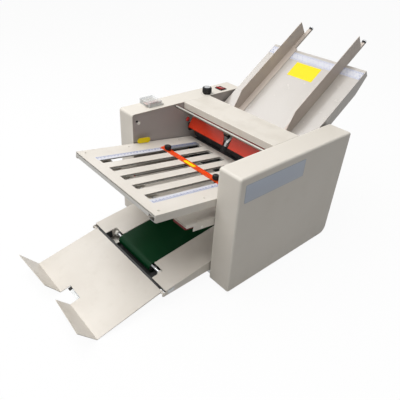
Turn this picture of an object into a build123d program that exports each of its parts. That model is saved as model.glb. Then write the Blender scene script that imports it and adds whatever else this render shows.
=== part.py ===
from build123d import *
import math
import os

os.makedirs("parts", exist_ok=True)

# Tabletop paper folding machine. Millimetres and degrees, +Z up.
# X runs along the rollers, -Y is the delivery end, +Y the feed end.
# The pieces are drawn with x = 0 on the mid plane, y = 0 on the front faces of
# the side covers and z = 0 under them. At the end all of them move together, so
# that the origin is the middle of the outer box, on the table.

# Body
INNER_WIDTH = 350.0
COVER_WIDTH = 68.0
COVER_DEPTH = 425.0
COVER_HEIGHT = 340.0
COVER_EDGE_RADIUS = 6.0
COVER_CORNER_RADIUS = 7.5
COVER_HEEL_RADIUS = 25.0
SHEET = 1.5
FRAME_PLATE = 6.0
FRAME_RECESS = 1.0
SEAT_GAP = 0.3
OVERRUN = 1.0

# Fold plates
PLATE_SLOPE = 8.7
PLATE_THROAT = 3.0
PLATE_MOUTH_GAP = 26.0
PLATE_FLANGE = 20.0
PLATE_CORNER_RADIUS = 7.0
UPPER_FRONT_Y = -173.0
UPPER_FRONT_Z = 281.6
UPPER_LENGTH = 390.0
UPPER_WIDTH = 346.0
UNDERSIDE_LIP = 9.0
UNDERSIDE_LIP_END = 150.0
LOWER_LENGTH = 276.0
LOWER_WIDTH = 344.0
LOWER_LIP = 6.0
LOWER_LIP_LENGTH = 22.0
REAR_WIDTH = 340.0
REAR_UPPER_LENGTH = 200.0
REAR_LOWER_LENGTH = 146.0
BACK_STEP_ANGLE = 50.0
SLOT_COUNT = 5
SLOT_PITCH = 50.0
SLOT_WIDTH = 23.0
SLOT_FRONT_MARGIN = 30.0
SLOT_REAR_MARGIN = 25.0
SLOT_CORNER_RADIUS = 2.0
REAR_SLOTS = 3
REAR_SLOT_STEP = 2

# Fold rollers and their gears
ROLLER_COUNT = 6
PULLEY_ROLLER = ROLLER_COUNT // 2
ROLLER_RADIUS = 15.0
ROLLER_GAP = 0.3
ROLLER_BODY_LENGTH = 336.0
ROLLER_GROOVE_WIDTH = 8.0
ROLLER_GROOVE_DEPTH = 0.8
GROOVE_SHARES = (-0.36, -0.18, 0.0, 0.18, 0.36)
JOURNAL_RADIUS = 6.0
RUNNING_FIT = 0.05
EXIT_ANGLE = 15.0
BUSH_RADIUS = 9.0
BUSH_FLANGE_RADIUS = 11.0
BUSH_FLANGE = 1.5
BUSH_STAND_OUT = 1.0
GEAR_MODULE = 1.5
ROLLER_TEETH = 20
FEED_TEETH = 40
PRESSURE_ANGLE = 20.0
GEAR_WIDTH = 8.0
GEAR_STAND_OFF = 3.0
GEAR_HUB_RADIUS = 10.0
GEAR_HUB_LENGTH = 3.0
TOOTH_PLAY = 0.16
DEDENDUM_SHARE = 1.2

# Feed tray, feed roller and separator
TRAY_NEAR_Y = 265.5
TRAY_NEAR_Z = 250.8
TRAY_SLOPE = 35.6
TRAY_LENGTH = 364.0
TRAY_WIDTH = 336.0
TRAY_FAR_FLANGE = 19.0
TRAY_SIDE_FLANGE = 36.0
TRAY_FLANGE_TAPER = 60.0
TRAY_EDGE_LIP = 8.0
TRAY_FLANGE_SHARE = 0.86
FEED_RADIUS = 20.0
FEED_PROUD = 1.0
FEED_RUBBER_LENGTH = 120.0
FEED_CUT_CLEARANCE = 3.0
HUB_SHARE = 1.2
GUIDE_SPACING = 204.0
FIN_HEIGHT = 45.0
FIN_TOE_HEIGHT = 6.0
FIN_TOE_GAP = 54.0
FIN_SHOULDER_GAP = 138.0
FIN_OVERHANG = 70.0
GUIDE_FOOT = 21.0
GUIDE_BAR = 12.0
GUIDE_BAR_DEPTH = 6.0
GUIDE_BAR_REACH = 20.0
GUIDE_HOOK_REACH = 5.0
GUIDE_HOOK_WIDTH = 17.0
END_KNOB_RADIUS = 6.5
END_KNOB_LENGTH = 9.0
END_KNOB_BAND = 4.0
END_KNOB_STUD_RADIUS = 1.5
END_STUD_LENGTH = 10.0
BAND_SHARE = 0.82
CAP_SHARE = 0.25

# Delivery bed, conveyor and receiving tray
BED_FRONT_Y = -141.5
BED_FRONT_Z = 39.1
BED_SLOPE = 6.8
BED_LENGTH = 318.0
BED_WIDTH = 340.0
BED_FRONT_FLANGE = 16.5
BED_REAR_FLANGE = 46.0
BELT_WIDTH = 146.0
BELT_THICKNESS = 1.5
BELT_SIDE_GAP = 2.0
BELT_ROLLER_RADIUS = 14.0
BELT_SHAFT_RADIUS = 5.0
FRONT_ROLLER_AT = 32.0
REAR_ROLLER_AT = 305.0
NOTCH_REACH = 37.0
NOTCH_DEPTH = 34.0
PAN_END_GAP = 6.0
PAN_DROP = 2.5
BED_TAB_DEPTH = 25.0
BED_TAB_WIDTH = 26.0
OUT_TRAY_SLOPE = 12.1
OUT_TRAY_LENGTH = 183.0
OUT_TRAY_WIDTH = 316.0
OUT_TRAY_EDGE = 4.0
HINGE_FRONT_GAP = 4.5
HINGE_DROP = 10.6
HINGE_PIN_RADIUS = 3.0
HINGE_EAR_RADIUS = 6.0
HINGE_LIFT = 2.0
EAR_WEB_SHARE = 0.9
OUT_NOTCH_WIDTH = 52.0
OUT_NOTCH_DEPTH = 28.0
FLAP_ANGLE = 52.0
FLAP_INNER = 54.0
FLAP_OUTER = 70.0
FLAP_FOLD = 4.0

# Cross rods, studs, base and feet
ROD_RADIUS = 3.5
FRONT_ROD_Y = 152.0
FRONT_ROD_DROP = 7.0
GUARD_ROD_Y = 210.0
GUARD_ROD_DROP = 22.0
COVER_ROD_Y = 277.0
COVER_ROD_DROP = 9.0
REAR_ROD_Y = 411.0
REAR_ROD_Z = 110.0
STUD_RADIUS = 4.0
STUD_LENGTH = 12.0
STUD_DROP = 12.0
STUD_CLEARANCE = 0.1
SHAFT_CLEARANCE = 1.0
BASE_SHEET = 2.0
BASE_FRONT = 12.0
BASE_FLANGE = 10.0
FOOT_HEIGHT = 10.0
FOOT_RADIUS = 13.0
FOOT_TOP_RADIUS = 15.0
FOOT_INSET_X = 26.0
FOOT_INSET_Y = 24.0

# Top cover and finger guard
TOP_FRONT_Y = 183.0
TOP_REAR_Y = 283.0
TOP_FLANGE = 19.0
TOP_SIDE_GAP = 1.0
TOP_EAR_DEPTH = 16.0
TOP_BEND_SHARE = 0.8
GUARD_WIDTH = 300.0
GUARD_SHEET = 3.0
GUARD_HEIGHT = 53.0
GUARD_ANGLE = 61.3
GUARD_BAND = 10.0
GUARD_GAP_LEFT = -2.0
GUARD_GAP_RIGHT = 21.0
GUARD_CURVE = 42.0
ARC_SHARE = 0.7
GUARD_RING = 6.5
GUARD_RING_WIDTH = 10.0
GUARD_RING_INSET = 20.0
SEPARATOR_X = 9.5
SEPARATOR_WIDTH = 16.0
SEPARATOR_RING = 7.5
SEPARATOR_PAD_LENGTH = 22.0
SEPARATOR_PAD_HEIGHT = 8.0
SEPARATOR_PAD_GAP = 0.4
SEPARATOR_ARM_ANGLE = 62.0
SEPARATOR_ARM_REACH = 55.0
SEPARATOR_ARM_WIDTH = 8.0
SEPARATOR_KNEE_ANGLE = 285.0
SEPARATOR_KNEE_REACH = 24.0
SEPARATOR_BOSS_RADIUS = 6.0
SEPARATOR_BOSS_LENGTH = 12.0
SEPARATOR_KNOB_RADIUS = 8.0
SEPARATOR_KNOB_LENGTH = 16.0
SEPARATOR_SCREW_RADIUS = 2.5
SEPARATOR_SCREW_DEPTH = 10.0
ARM_SHARE = 0.8

# Drive
MOTOR_PLACE = (242.0, 37.0)
MOTOR_RADIUS = 28.0
MOTOR_LENGTH = 120.0
MOTOR_NOSE_RADIUS = 18.0
MOTOR_NOSE = 6.0
MOTOR_SHAFT_RADIUS = 5.0
MOTOR_FLANGE = 4.0
CRADLE_WIDTH = 60.0
SADDLE_SHARE = 0.8
MOTOR_SHAFT_IN = 20.0
PULLEY_WIDTH = 12.0
PULLEY_FLANGE = 1.5
PULLEY_FLANGE_STEP = 2.5
MOTOR_PULLEY_RADIUS = 10.0
ROLLER_PULLEY_RADIUS = 20.0
CONVEYOR_PULLEY_RADIUS = 16.0
PULLEY_STAND_OFF = 4.0
TIMING_BELT = 2.0
BELT_GAP = 0.3

# Stop bars and their thumb knobs
STOP_AT = 248.0
STOP_LENGTH = 250.0
STOP_SHEET = 2.0
STOP_DEPTH = 12.0
STOP_HEIGHT = 4.5
STOP_END_RADIUS = 3.0
FINGER_WIDTH = 15.0
FINGER_DEPTH = 11.0
STOP_LIFT = 0.3
LOWER_STOP_AT = 36.0
LOWER_STOP_LENGTH = 316.0
REAR_STOP_LENGTH = 260.0
REAR_UPPER_STOP_AT = 150.0
REAR_LOWER_STOP_AT = 100.0
KNOB_RADIUS = 9.5
KNOB_HEIGHT = 12.0
KNOB_COLLAR = 3.0
KNOB_LOBES = 12
KNOB_LOBE_RADIUS = 1.6
KNOB_STUD_RADIUS = 3.0
KNOB_STUD_LENGTH = 13.0
KNOB_COLLAR_SHARE = 0.45

# Controls on the left cover and the inlet behind it
DIAL_PLACE = (-192.0, 288.0)
DIAL_RADIUS = 11.7
DIAL_CAP_RADIUS = 9.4
DIAL_SKIRT = 4.0
DIAL_HEIGHT = 17.0
DIAL_SHAFT_RADIUS = 3.0
DIAL_SHAFT_LENGTH = 12.0
DIAL_FLUTES = 18
DIAL_FLUTE_RADIUS = 0.9
ROCKER_PLACE = (-201.0, 356.0)
BEZEL_LENGTH = 31.0
BEZEL_WIDTH = 25.0
BEZEL_RIM = 2.5
BEZEL_WALL = 1.5
BEZEL_CORNER_RADIUS = 2.0
ROCKER_LENGTH = 24.0
ROCKER_WIDTH = 18.0
ROCKER_PLAY = 0.6
ROCKER_TILT = 8.0
ROCKER_HEIGHT = 7.0
ROCKER_DISH = 1.2
ROCKER_PIN_RADIUS = 1.5
ROCKER_PIN_LENGTH = 1.2
SWITCH_DEPTH = 24.0
WELL_DEPTH = 11.0
COUNTER_PLACE = (-214.0, 90.0)
COUNTER_LENGTH = 46.0
COUNTER_WIDTH = 50.0
COUNTER_HEIGHT = 10.0
COUNTER_INSET = 2.0
COUNTER_WINDOW = (26.0, 11.0)
COUNTER_WINDOW_DEPTH = 0.8
LID_HEIGHT = 15.0
LID_WALL = 1.2
LID_BARREL_RADIUS = 2.0
LID_PIN_RADIUS = 1.0
LID_PIN_LENGTH = 3.0
LID_EAR = 4.0
LID_PLATE = 1.0
LID_CORNER_RADIUS = 2.0
LID_EAR_INSET = 0.2
BUTTON_RADIUS = 3.5
BUTTON_PLACE = (13.0, 8.0)
BUTTON_PROUD = 2.0
BUTTON_EDGE_SHARE = 0.25
BUTTON_TRAVEL = 1.5
BUTTON_DEPTH = 4.0
INLET_PLACE = (-209.0, 62.0)
INLET_FLANGE = (50.0, 30.0)
INLET_FLANGE_SHEET = 2.5
INLET_BODY = (28.0, 21.0)
INLET_MOUTH = (24.0, 17.0)
INLET_DEPTH = 18.0
INLET_BACK = 4.0
INLET_PIN = (2.0, 4.0)
INLET_PIN_LENGTH = 9.0
INLET_PIN_STEP = 7.0
INLET_PIN_RISE = 4.0
INLET_CORNER_RADIUS = 3.0


# Helpers for blocks, bars along X and outlines seen from the side

def span_box(x0, x1, y0, y1, z0, z1):
    """Block between two corners."""
    middle = Pos((x0 + x1) / 2, (y0 + y1) / 2, (z0 + z1) / 2)
    return middle * Box(x1 - x0, y1 - y0, z1 - z0)


def x_bar(radius, x0, x1, y, z):
    """Round bar along X."""
    return Pos((x0 + x1) / 2, y, z) * Rot(0, 90, 0) * Cylinder(radius, x1 - x0)


def side_prism(outline, x0, x1):
    """Solid between two places in X from an outline drawn in Y and Z."""
    plane = Plane(origin=(x0, 0, 0), x_dir=(0, 1, 0), z_dir=(1, 0, 0))
    return extrude(plane * outline, amount=x1 - x0)


def polygon(points):
    return make_face(Polyline(*points, close=True))


def step(point, angle, distance):
    """Point at a distance from another in the Y and Z plane."""
    turn = math.radians(angle)
    return (point[0] + distance * math.cos(turn), point[1] + distance * math.sin(turn))


def between(a, b):
    return ((a[0] + b[0]) / 2, (a[1] + b[1]) / 2)


def apart(a, b):
    return math.hypot(a[0] - b[0], a[1] - b[1])


def at(place, along, height):
    """Y and Z of a point given along and above a sloping sheet."""
    spot = (place * Pos(0, along, height)).position
    return (spot.Y, spot.Z)


def group(pieces):
    """Like pieces that share one node."""
    return Compound([solid for piece in pieces for solid in piece.solids()])


def both_sides(piece):
    return [piece, mirror(piece, about=Plane.YZ)]


# Places that the sloping sheets and the rollers share

HALF = INNER_WIDTH / 2
FRAME_INNER = HALF + FRAME_RECESS
FRAME_OUTER = FRAME_INNER + FRAME_PLATE
COVER_OUTER = HALF + COVER_WIDTH
ROLLER_DISTANCE = 2 * ROLLER_RADIUS + ROLLER_GAP
MID_SHEET = SHEET + PLATE_THROAT / 2
UPPER = Pos(0, UPPER_FRONT_Y, UPPER_FRONT_Z) * Rot(-PLATE_SLOPE, 0, 0)
TRAY_RUN = TRAY_LENGTH * math.cos(math.radians(TRAY_SLOPE))
TRAY_RISE = TRAY_LENGTH * math.sin(math.radians(TRAY_SLOPE))
TRAY = Pos(0, TRAY_NEAR_Y + TRAY_RUN, TRAY_NEAR_Z + TRAY_RISE) * Rot(TRAY_SLOPE, 0, 0)
BED = Pos(0, BED_FRONT_Y, BED_FRONT_Z) * Rot(BED_SLOPE, 0, 0)
DOWN = 270 - PLATE_SLOPE
BACK_DOWN = 180 + BACK_STEP_ANGLE
REAR_ANGLE = 90 - BACK_STEP_ANGLE


def roller_stack():
    """Middles of the six fold rollers, each one touching the next."""
    first_nip = at(UPPER, UPPER_LENGTH + PLATE_MOUTH_GAP, -MID_SHEET)
    stack = [step(first_nip, DOWN, -ROLLER_DISTANCE / 2)]
    for turn in (DOWN, BACK_DOWN, DOWN, BACK_DOWN, 270 + EXIT_ANGLE):
        stack.append(step(stack[-1], turn, ROLLER_DISTANCE))
    return stack


ROLLERS = roller_stack()


def front_plate_place(upper_roller, lower_roller, length):
    """Top sheet's front edge of a plate that points at a nip from the front."""
    nip = between(ROLLERS[upper_roller], ROLLERS[lower_roller])
    middle = step(nip, 180 - PLATE_SLOPE, length + PLATE_MOUTH_GAP)
    front = step(middle, 90 - PLATE_SLOPE, MID_SHEET)
    return Pos(0, front[0], front[1]) * Rot(-PLATE_SLOPE, 0, 0)


def rear_plate_place(upper_roller, lower_roller):
    """Top sheet's mouth edge of a plate that leads backwards and down."""
    nip = between(ROLLERS[upper_roller], ROLLERS[lower_roller])
    middle = step(nip, -REAR_ANGLE, PLATE_MOUTH_GAP)
    mouth = step(middle, BACK_STEP_ANGLE, MID_SHEET)
    return Pos(0, mouth[0], mouth[1]) * Rot(-REAR_ANGLE, 0, 0)


LOWER = front_plate_place(2, 3, LOWER_LENGTH)
REAR_UPPER = rear_plate_place(1, 2)
REAR_LOWER = rear_plate_place(3, 4)


def feed_roller_place():
    """Middle of the feed roller: under the tray and in mesh with the top roller."""
    mesh = GEAR_MODULE * (ROLLER_TEETH + FEED_TEETH) / 2 + ROLLER_GAP
    turn = math.radians(TRAY_SLOPE)
    dy = ROLLERS[0][0] - TRAY_NEAR_Y
    dz = ROLLERS[0][1] - TRAY_NEAR_Z
    along = dy * math.cos(turn) + dz * math.sin(turn)
    height = dz * math.cos(turn) - dy * math.sin(turn)
    under = FEED_PROUD - FEED_RADIUS
    return along - TRAY_LENGTH + math.sqrt(mesh**2 - (under - height)**2), under


FEED_AT, FEED_UNDER = feed_roller_place()
FEED = at(TRAY, FEED_AT, FEED_UNDER)
BELT_UNDER = -(BELT_ROLLER_RADIUS + BELT_GAP + BELT_THICKNESS)
CONVEYOR_FRONT = at(BED, FRONT_ROLLER_AT, BELT_UNDER)
CONVEYOR_REAR = at(BED, REAR_ROLLER_AT, BELT_UNDER)
TRAY_HINGE = (BED_FRONT_Y - HINGE_FRONT_GAP, BED_FRONT_Z - HINGE_DROP)
OUT_TRAY = Pos(0, TRAY_HINGE[0], TRAY_HINGE[1]) * Rot(OUT_TRAY_SLOPE, 0, 0)
FRONT_ROD_PLACE = (FRONT_ROD_Y, COVER_HEIGHT - FRONT_ROD_DROP)
GUARD_ROD_PLACE = (GUARD_ROD_Y, COVER_HEIGHT - GUARD_ROD_DROP)
COVER_ROD_PLACE = (COVER_ROD_Y, COVER_HEIGHT - COVER_ROD_DROP)
REAR_ROD_PLACE = (REAR_ROD_Y, REAR_ROD_Z)
ROD_PLACES = [FRONT_ROD_PLACE, GUARD_ROD_PLACE, COVER_ROD_PLACE, REAR_ROD_PLACE]
UPPER_STUD_SHARES = (0.52, 0.92)
LOWER_STUD_SHARES = (0.42, 0.9)
REAR_STUD_SHARES = (0.2, 0.85)
BED_STUD_SHARES = (0.5, 0.78)
TRAY_STUD_SHARES = (0.65, 0.88)


def stud_places():
    """Where the frame studs carry the plates, the bed and the feed tray."""
    places = [at(UPPER, share * UPPER_LENGTH, -STUD_DROP) for share in UPPER_STUD_SHARES]
    places += [at(LOWER, share * LOWER_LENGTH, -STUD_DROP) for share in LOWER_STUD_SHARES]
    for place, length in ((REAR_UPPER, REAR_UPPER_LENGTH), (REAR_LOWER, REAR_LOWER_LENGTH)):
        places += [at(place, share * length, -STUD_DROP) for share in REAR_STUD_SHARES]
    places += [at(BED, share * BED_LENGTH, -STUD_DROP) for share in BED_STUD_SHARES]
    places += [at(TRAY, -share * TRAY_LENGTH, -STUD_DROP) for share in TRAY_STUD_SHARES]
    return places


STUDS = stud_places()
BUSHED = ROLLERS + [FEED, CONVEYOR_REAR]


# Side covers: folded and welded shells, open on their inner side

def cover_outline(inset):
    """Side view of a cover, drawn in by an inset, with its large rear heel."""
    low, high = inset, COVER_HEIGHT - inset
    front, rear = inset, COVER_DEPTH - inset
    tight = COVER_CORNER_RADIUS - inset
    heel = COVER_HEEL_RADIUS - inset
    corners = [(front, low), (rear, low), (rear, high), (front, high)]
    return make_face(FilletPolyline(*corners, radius=[tight, heel, tight, tight], close=True))


def cover_shell():
    """Right-hand shell, hollowed from its inner side."""
    body = side_prism(cover_outline(0), HALF, COVER_OUTER)
    outer = body.faces().sort_by(Axis.X)[-1]
    body = fillet(outer.edges(), COVER_EDGE_RADIUS)
    inner = body.faces().sort_by(Axis.X)[0]
    return offset(body, amount=-SHEET, openings=inner)


def right_cover():
    return cover_shell()


def left_cover():
    """Left-hand shell with the holes for the controls and the inlet."""
    shell = mirror(cover_shell(), about=Plane.YZ)
    x, y = DIAL_PLACE
    shell -= Pos(x, y, COVER_HEIGHT) * Cylinder(DIAL_SHAFT_RADIUS + SEAT_GAP, 4 * SHEET)
    x, y = ROCKER_PLACE
    hole = Box(switch_body()[0] + 2 * SEAT_GAP, switch_body()[1] + 2 * SEAT_GAP, 4 * SHEET)
    shell -= Pos(x, y, COVER_HEIGHT) * hole
    x, z = INLET_PLACE
    hole = Box(INLET_BODY[0] + 2 * SEAT_GAP, 4 * SHEET, INLET_BODY[1] + 2 * SEAT_GAP)
    shell -= Pos(x, COVER_DEPTH, z) * hole
    return shell


# Side frames: steel plates with studs that carry the plates and trays

def side_frame(plain_bores):
    """Right-hand frame plate with its bush bores, studs and rod sockets."""
    plate = side_prism(cover_outline(SHEET + SEAT_GAP), FRAME_INNER, FRAME_OUTER)
    for y, z in BUSHED:
        plate -= x_bar(BUSH_RADIUS, FRAME_INNER, FRAME_OUTER, y, z)
    for y, z in ROD_PLACES:
        plate -= x_bar(ROD_RADIUS, FRAME_INNER, FRAME_OUTER, y, z)
    for y, z in STUDS:
        plate += x_bar(STUD_RADIUS, FRAME_INNER - STUD_LENGTH, FRAME_INNER, y, z)
    for radius, y, z in plain_bores:
        plate -= x_bar(radius, FRAME_INNER, FRAME_OUTER, y, z)
    return plate


def side_frame_right():
    return side_frame([])


def side_frame_left():
    """The motor's nose sits in this plate."""
    y, z = MOTOR_PLACE
    return mirror(side_frame([(MOTOR_NOSE_RADIUS + SEAT_GAP, y, z)]), about=Plane.YZ)


BASE_UNDER = SHEET + SEAT_GAP
BASE_TOP = BASE_UNDER + BASE_SHEET
BASE_REAR = COVER_DEPTH - COVER_HEEL_RADIUS


def base_plate():
    """Folded pan between the frames, its edges turned up all round."""
    rim = BASE_UNDER + BASE_FLANGE
    tray = span_box(-FRAME_INNER, FRAME_INNER, BASE_FRONT, BASE_REAR, BASE_UNDER, rim)
    lid = tray.faces().sort_by(Axis.Z)[-1]
    return offset(tray, amount=-BASE_SHEET, openings=lid)


def foot_places():
    places = []
    for x in (FRAME_INNER - FOOT_INSET_X, FOOT_INSET_X - FRAME_INNER):
        for y in (BASE_FRONT + FOOT_INSET_Y, BASE_REAR - FOOT_INSET_Y):
            places.append((x, y))
    return places


def rubber_feet():
    """Four tapered rubber feet under the base pan."""
    height = FOOT_HEIGHT + BASE_UNDER
    feet = []
    for x, y in foot_places():
        cone = Cone(FOOT_RADIUS, FOOT_TOP_RADIUS, height)
        feet.append(Pos(x, y, BASE_UNDER - height / 2) * cone)
    return group(feet)


def cross_rods():
    """Four ground rods that tie the frames and carry the cover and the guard."""
    rods = [x_bar(ROD_RADIUS, -FRAME_OUTER, FRAME_OUTER, y, z) for y, z in ROD_PLACES]
    return group(rods)


# Top cover: a lid between the side covers that turns up on its rear rod

def top_cover():
    half = HALF - TOP_SIDE_GAP
    under = COVER_HEIGHT - SHEET
    lid = span_box(-half, half, TOP_FRONT_Y, TOP_REAR_Y, under, COVER_HEIGHT)
    low = COVER_HEIGHT - TOP_FLANGE
    lid += span_box(-half, half, TOP_FRONT_Y, TOP_FRONT_Y + SHEET, low, COVER_HEIGHT)
    y, z = COVER_ROD_PLACE
    for inner in (-half, half - SHEET):
        ear = span_box(inner, inner + SHEET, y - TOP_EAR_DEPTH, y + SHEET, z - SHEET, under)
        ear += x_bar(ROD_RADIUS + SHEET, inner, inner + SHEET, y, z)
        lid += ear
        lid -= x_bar(ROD_RADIUS + RUNNING_FIT, inner - OVERRUN, inner + SHEET + OVERRUN, y, z)
    front_top = lid.edges().filter_by(Axis.X).sort_by(lambda e: e.center().Y - e.center().Z)[0]
    return fillet(front_top, SHEET * TOP_BEND_SHARE)


# Fold plates

def slot_centres(count):
    return [(i - (count - 1) / 2) * SLOT_PITCH for i in range(count)]


def slotted_sheet(width, length, top, slots, pitch_step=1):
    """Flat sheet with long slots, drawn with its edge at the origin."""
    sheet = span_box(-width / 2, width / 2, 0, length, top - SHEET, top)
    low, high = SLOT_FRONT_MARGIN, length - SLOT_REAR_MARGIN
    opening = RectangleRounded(SLOT_WIDTH, high - low, SLOT_CORNER_RADIUS)
    cutter = Pos(0, (low + high) / 2, top - 2 * SHEET) * extrude(opening, amount=3 * SHEET)
    for x in slot_centres(slots):
        sheet -= Pos(x * pitch_step, 0, 0) * cutter
    return sheet


def side_flange(width, outline, shares, length):
    """Down-turned edge with holes for the frame studs."""
    outer = width / 2
    flange = side_prism(outline, outer - SHEET, outer)
    for share in shares:
        bore = x_bar(STUD_RADIUS + STUD_CLEARANCE, outer - 2 * SHEET, outer + SHEET,
                     share * length, -STUD_DROP)
        flange -= bore
    return flange


def plain_flange(length):
    """Flange outline with a rounded front corner."""
    outline = polygon([(0, -SHEET), (length, -SHEET), (length, -PLATE_FLANGE),
                       (0, -PLATE_FLANGE)])
    corner = outline.vertices().sort_by(lambda v: v.X + v.Y)[0]
    return fillet(corner, PLATE_CORNER_RADIUS)


def stepped_flange(length):
    """Shallow lip first, then the full depth."""
    return polygon([(0, -SHEET), (length, -SHEET), (length, -PLATE_FLANGE),
                    (LOWER_LIP_LENGTH, -PLATE_FLANGE), (LOWER_LIP_LENGTH, -LOWER_LIP),
                    (0, -LOWER_LIP)])


def underside(width, length, slots, pitch_step=1):
    """Lower sheet of a fold plate with the spacer folds along both sides."""
    top = -SHEET - PLATE_THROAT
    sheet = slotted_sheet(width, length, top, slots, pitch_step)
    for x in (-width / 2, width / 2 - SHEET):
        sheet += span_box(x, x + SHEET, 0, length, top, -SHEET)
    return sheet


def upper_fold_plate():
    sheet = slotted_sheet(UPPER_WIDTH, UPPER_LENGTH, 0, SLOT_COUNT)
    outline = plain_flange(UPPER_LENGTH)
    flange = side_flange(UPPER_WIDTH, outline, UPPER_STUD_SHARES, UPPER_LENGTH)
    for piece in both_sides(flange):
        sheet += piece
    return UPPER * sheet


def upper_plate_underside():
    width = UPPER_WIDTH - 2 * (SHEET + SEAT_GAP)
    sheet = underside(width, UPPER_LENGTH, SLOT_COUNT)
    low = -SHEET - PLATE_THROAT - UNDERSIDE_LIP
    sheet += span_box(-width / 2, UNDERSIDE_LIP_END, 0, SHEET, low, -SHEET - PLATE_THROAT)
    return UPPER * sheet


def lower_fold_plate():
    """Both sheets of the lower front plate, joined along their sides."""
    sheet = slotted_sheet(LOWER_WIDTH, LOWER_LENGTH, 0, SLOT_COUNT)
    outline = stepped_flange(LOWER_LENGTH)
    flange = side_flange(LOWER_WIDTH, outline, LOWER_STUD_SHARES, LOWER_LENGTH)
    for piece in both_sides(flange):
        sheet += piece
    sheet += underside(LOWER_WIDTH - 2 * SHEET, LOWER_LENGTH, SLOT_COUNT)
    return LOWER * sheet


def rear_fold_plate(place, length):
    """Rear plate, slotted for the three fingers of its stop bar."""
    sheet = slotted_sheet(REAR_WIDTH, length, 0, REAR_SLOTS, REAR_SLOT_STEP)
    flange = side_flange(REAR_WIDTH, plain_flange(length), REAR_STUD_SHARES, length)
    for piece in both_sides(flange):
        sheet += piece
    sheet += underside(REAR_WIDTH - 2 * SHEET, length, REAR_SLOTS, REAR_SLOT_STEP)
    return place * sheet


# Stop bars: painted angles with fingers through the slots

def stop_bar(length, centres, knob_centres):
    """Angle lying on a sheet at height zero, fingers down, knobs above."""
    low = STOP_LIFT
    half = length / 2
    bar = span_box(-half, half, -STOP_DEPTH, 0, low, low + STOP_SHEET)
    bar = fillet(bar.edges().filter_by(Axis.Z).group_by(Axis.Y)[0], STOP_END_RADIUS)
    bar += span_box(-half, half, -STOP_SHEET, 0, low, low + STOP_HEIGHT)
    for x in centres:
        wide = FINGER_WIDTH / 2
        bar += span_box(x - wide, x + wide, -STOP_SHEET, 0, -FINGER_DEPTH, low)
    for x in knob_centres:
        middle = -(STOP_DEPTH + STOP_SHEET) / 2
        bar -= Pos(x, middle, low) * Cylinder(KNOB_STUD_RADIUS + RUNNING_FIT, 4 * STOP_SHEET)
    return bar


def thumb_knob(stud_length):
    """Knurled head with a collar and a stud, standing on the bar's flange."""
    head = Pos(0, 0, KNOB_COLLAR + (KNOB_HEIGHT - KNOB_COLLAR) / 2) * Cylinder(
        KNOB_RADIUS, KNOB_HEIGHT - KNOB_COLLAR)
    cutter = Cylinder(KNOB_LOBE_RADIUS, 2 * KNOB_HEIGHT)
    for i in range(KNOB_LOBES):
        head -= Rot(0, 0, 360 * i / KNOB_LOBES) * Pos(KNOB_RADIUS, 0, KNOB_HEIGHT) * cutter
    collar = Pos(0, 0, KNOB_COLLAR / 2) * Cylinder(KNOB_RADIUS * KNOB_COLLAR_SHARE, KNOB_COLLAR)
    stud = Pos(0, 0, -stud_length / 2) * Cylinder(KNOB_STUD_RADIUS, stud_length)
    return head + collar + stud


KNOB_SEAT = -(STOP_DEPTH + STOP_SHEET) / 2
OUTER_SLOT = slot_centres(SLOT_COUNT)[-1]


def upper_stop_bar():
    bar = stop_bar(STOP_LENGTH, slot_centres(SLOT_COUNT), (-OUTER_SLOT, OUTER_SLOT))
    return UPPER * Pos(0, STOP_AT, 0) * bar


def upper_knob(side):
    height = STOP_LIFT + STOP_SHEET
    return UPPER * Pos(side * OUTER_SLOT, STOP_AT + KNOB_SEAT, height) * thumb_knob(KNOB_STUD_LENGTH)


LOWER_UNDER = -2 * SHEET - PLATE_THROAT
TURN_OVER = Rot(0, 180, 0)


def lower_stop_bar():
    """The same angle hung under the lower plate."""
    bar = stop_bar(LOWER_STOP_LENGTH, slot_centres(SLOT_COUNT), (0,))
    return LOWER * Pos(0, LOWER_STOP_AT, LOWER_UNDER) * TURN_OVER * bar


def lower_knob():
    height = LOWER_UNDER - STOP_LIFT - STOP_SHEET
    return LOWER * Pos(0, LOWER_STOP_AT + KNOB_SEAT, height) * TURN_OVER * thumb_knob(STOP_SHEET)


def rear_stop_bar(place, reach):
    centres = [x * REAR_SLOT_STEP for x in slot_centres(REAR_SLOTS)]
    bar = stop_bar(REAR_STOP_LENGTH, centres, ())
    return place * Pos(0, reach, 0) * Rot(0, 0, 180) * bar


# Fold rollers, their gears and bushes

GEAR_LEFT = FRAME_OUTER + GEAR_STAND_OFF
GEAR_RIGHT = GEAR_LEFT + GEAR_WIDTH
SHAFT_RIGHT = GEAR_RIGHT + GEAR_HUB_LENGTH
SHAFT_LEFT = -(FRAME_OUTER + BUSH_STAND_OUT)
PULLEY_RIGHT = -(FRAME_OUTER + PULLEY_STAND_OFF)
PULLEY_LEFT = PULLEY_RIGHT - PULLEY_WIDTH


def journal(left, place):
    return x_bar(JOURNAL_RADIUS, left, SHAFT_RIGHT, place[0], place[1])


def fold_roller(index):
    """Rubber-covered roller with relief grooves, on a through shaft."""
    y, z = ROLLERS[index]
    half = ROLLER_BODY_LENGTH / 2
    roller = x_bar(ROLLER_RADIUS, -half, half, y, z)
    groove_floor = ROLLER_RADIUS - ROLLER_GROOVE_DEPTH
    for share in GROOVE_SHARES:
        x0 = share * ROLLER_BODY_LENGTH - ROLLER_GROOVE_WIDTH / 2
        x1 = x0 + ROLLER_GROOVE_WIDTH
        ring = x_bar(ROLLER_RADIUS + OVERRUN, x0, x1, y, z)
        roller -= ring - x_bar(groove_floor, x0, x1, y, z)
    left = PULLEY_LEFT if index == PULLEY_ROLLER else SHAFT_LEFT
    return roller + journal(left, ROLLERS[index])


def involute_angle(radius, base):
    """Turn of an involute flank at a radius, in radians."""
    if radius <= base:
        return 0
    reach = math.sqrt(radius**2 - base**2) / base
    return reach - math.atan(reach)


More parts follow.
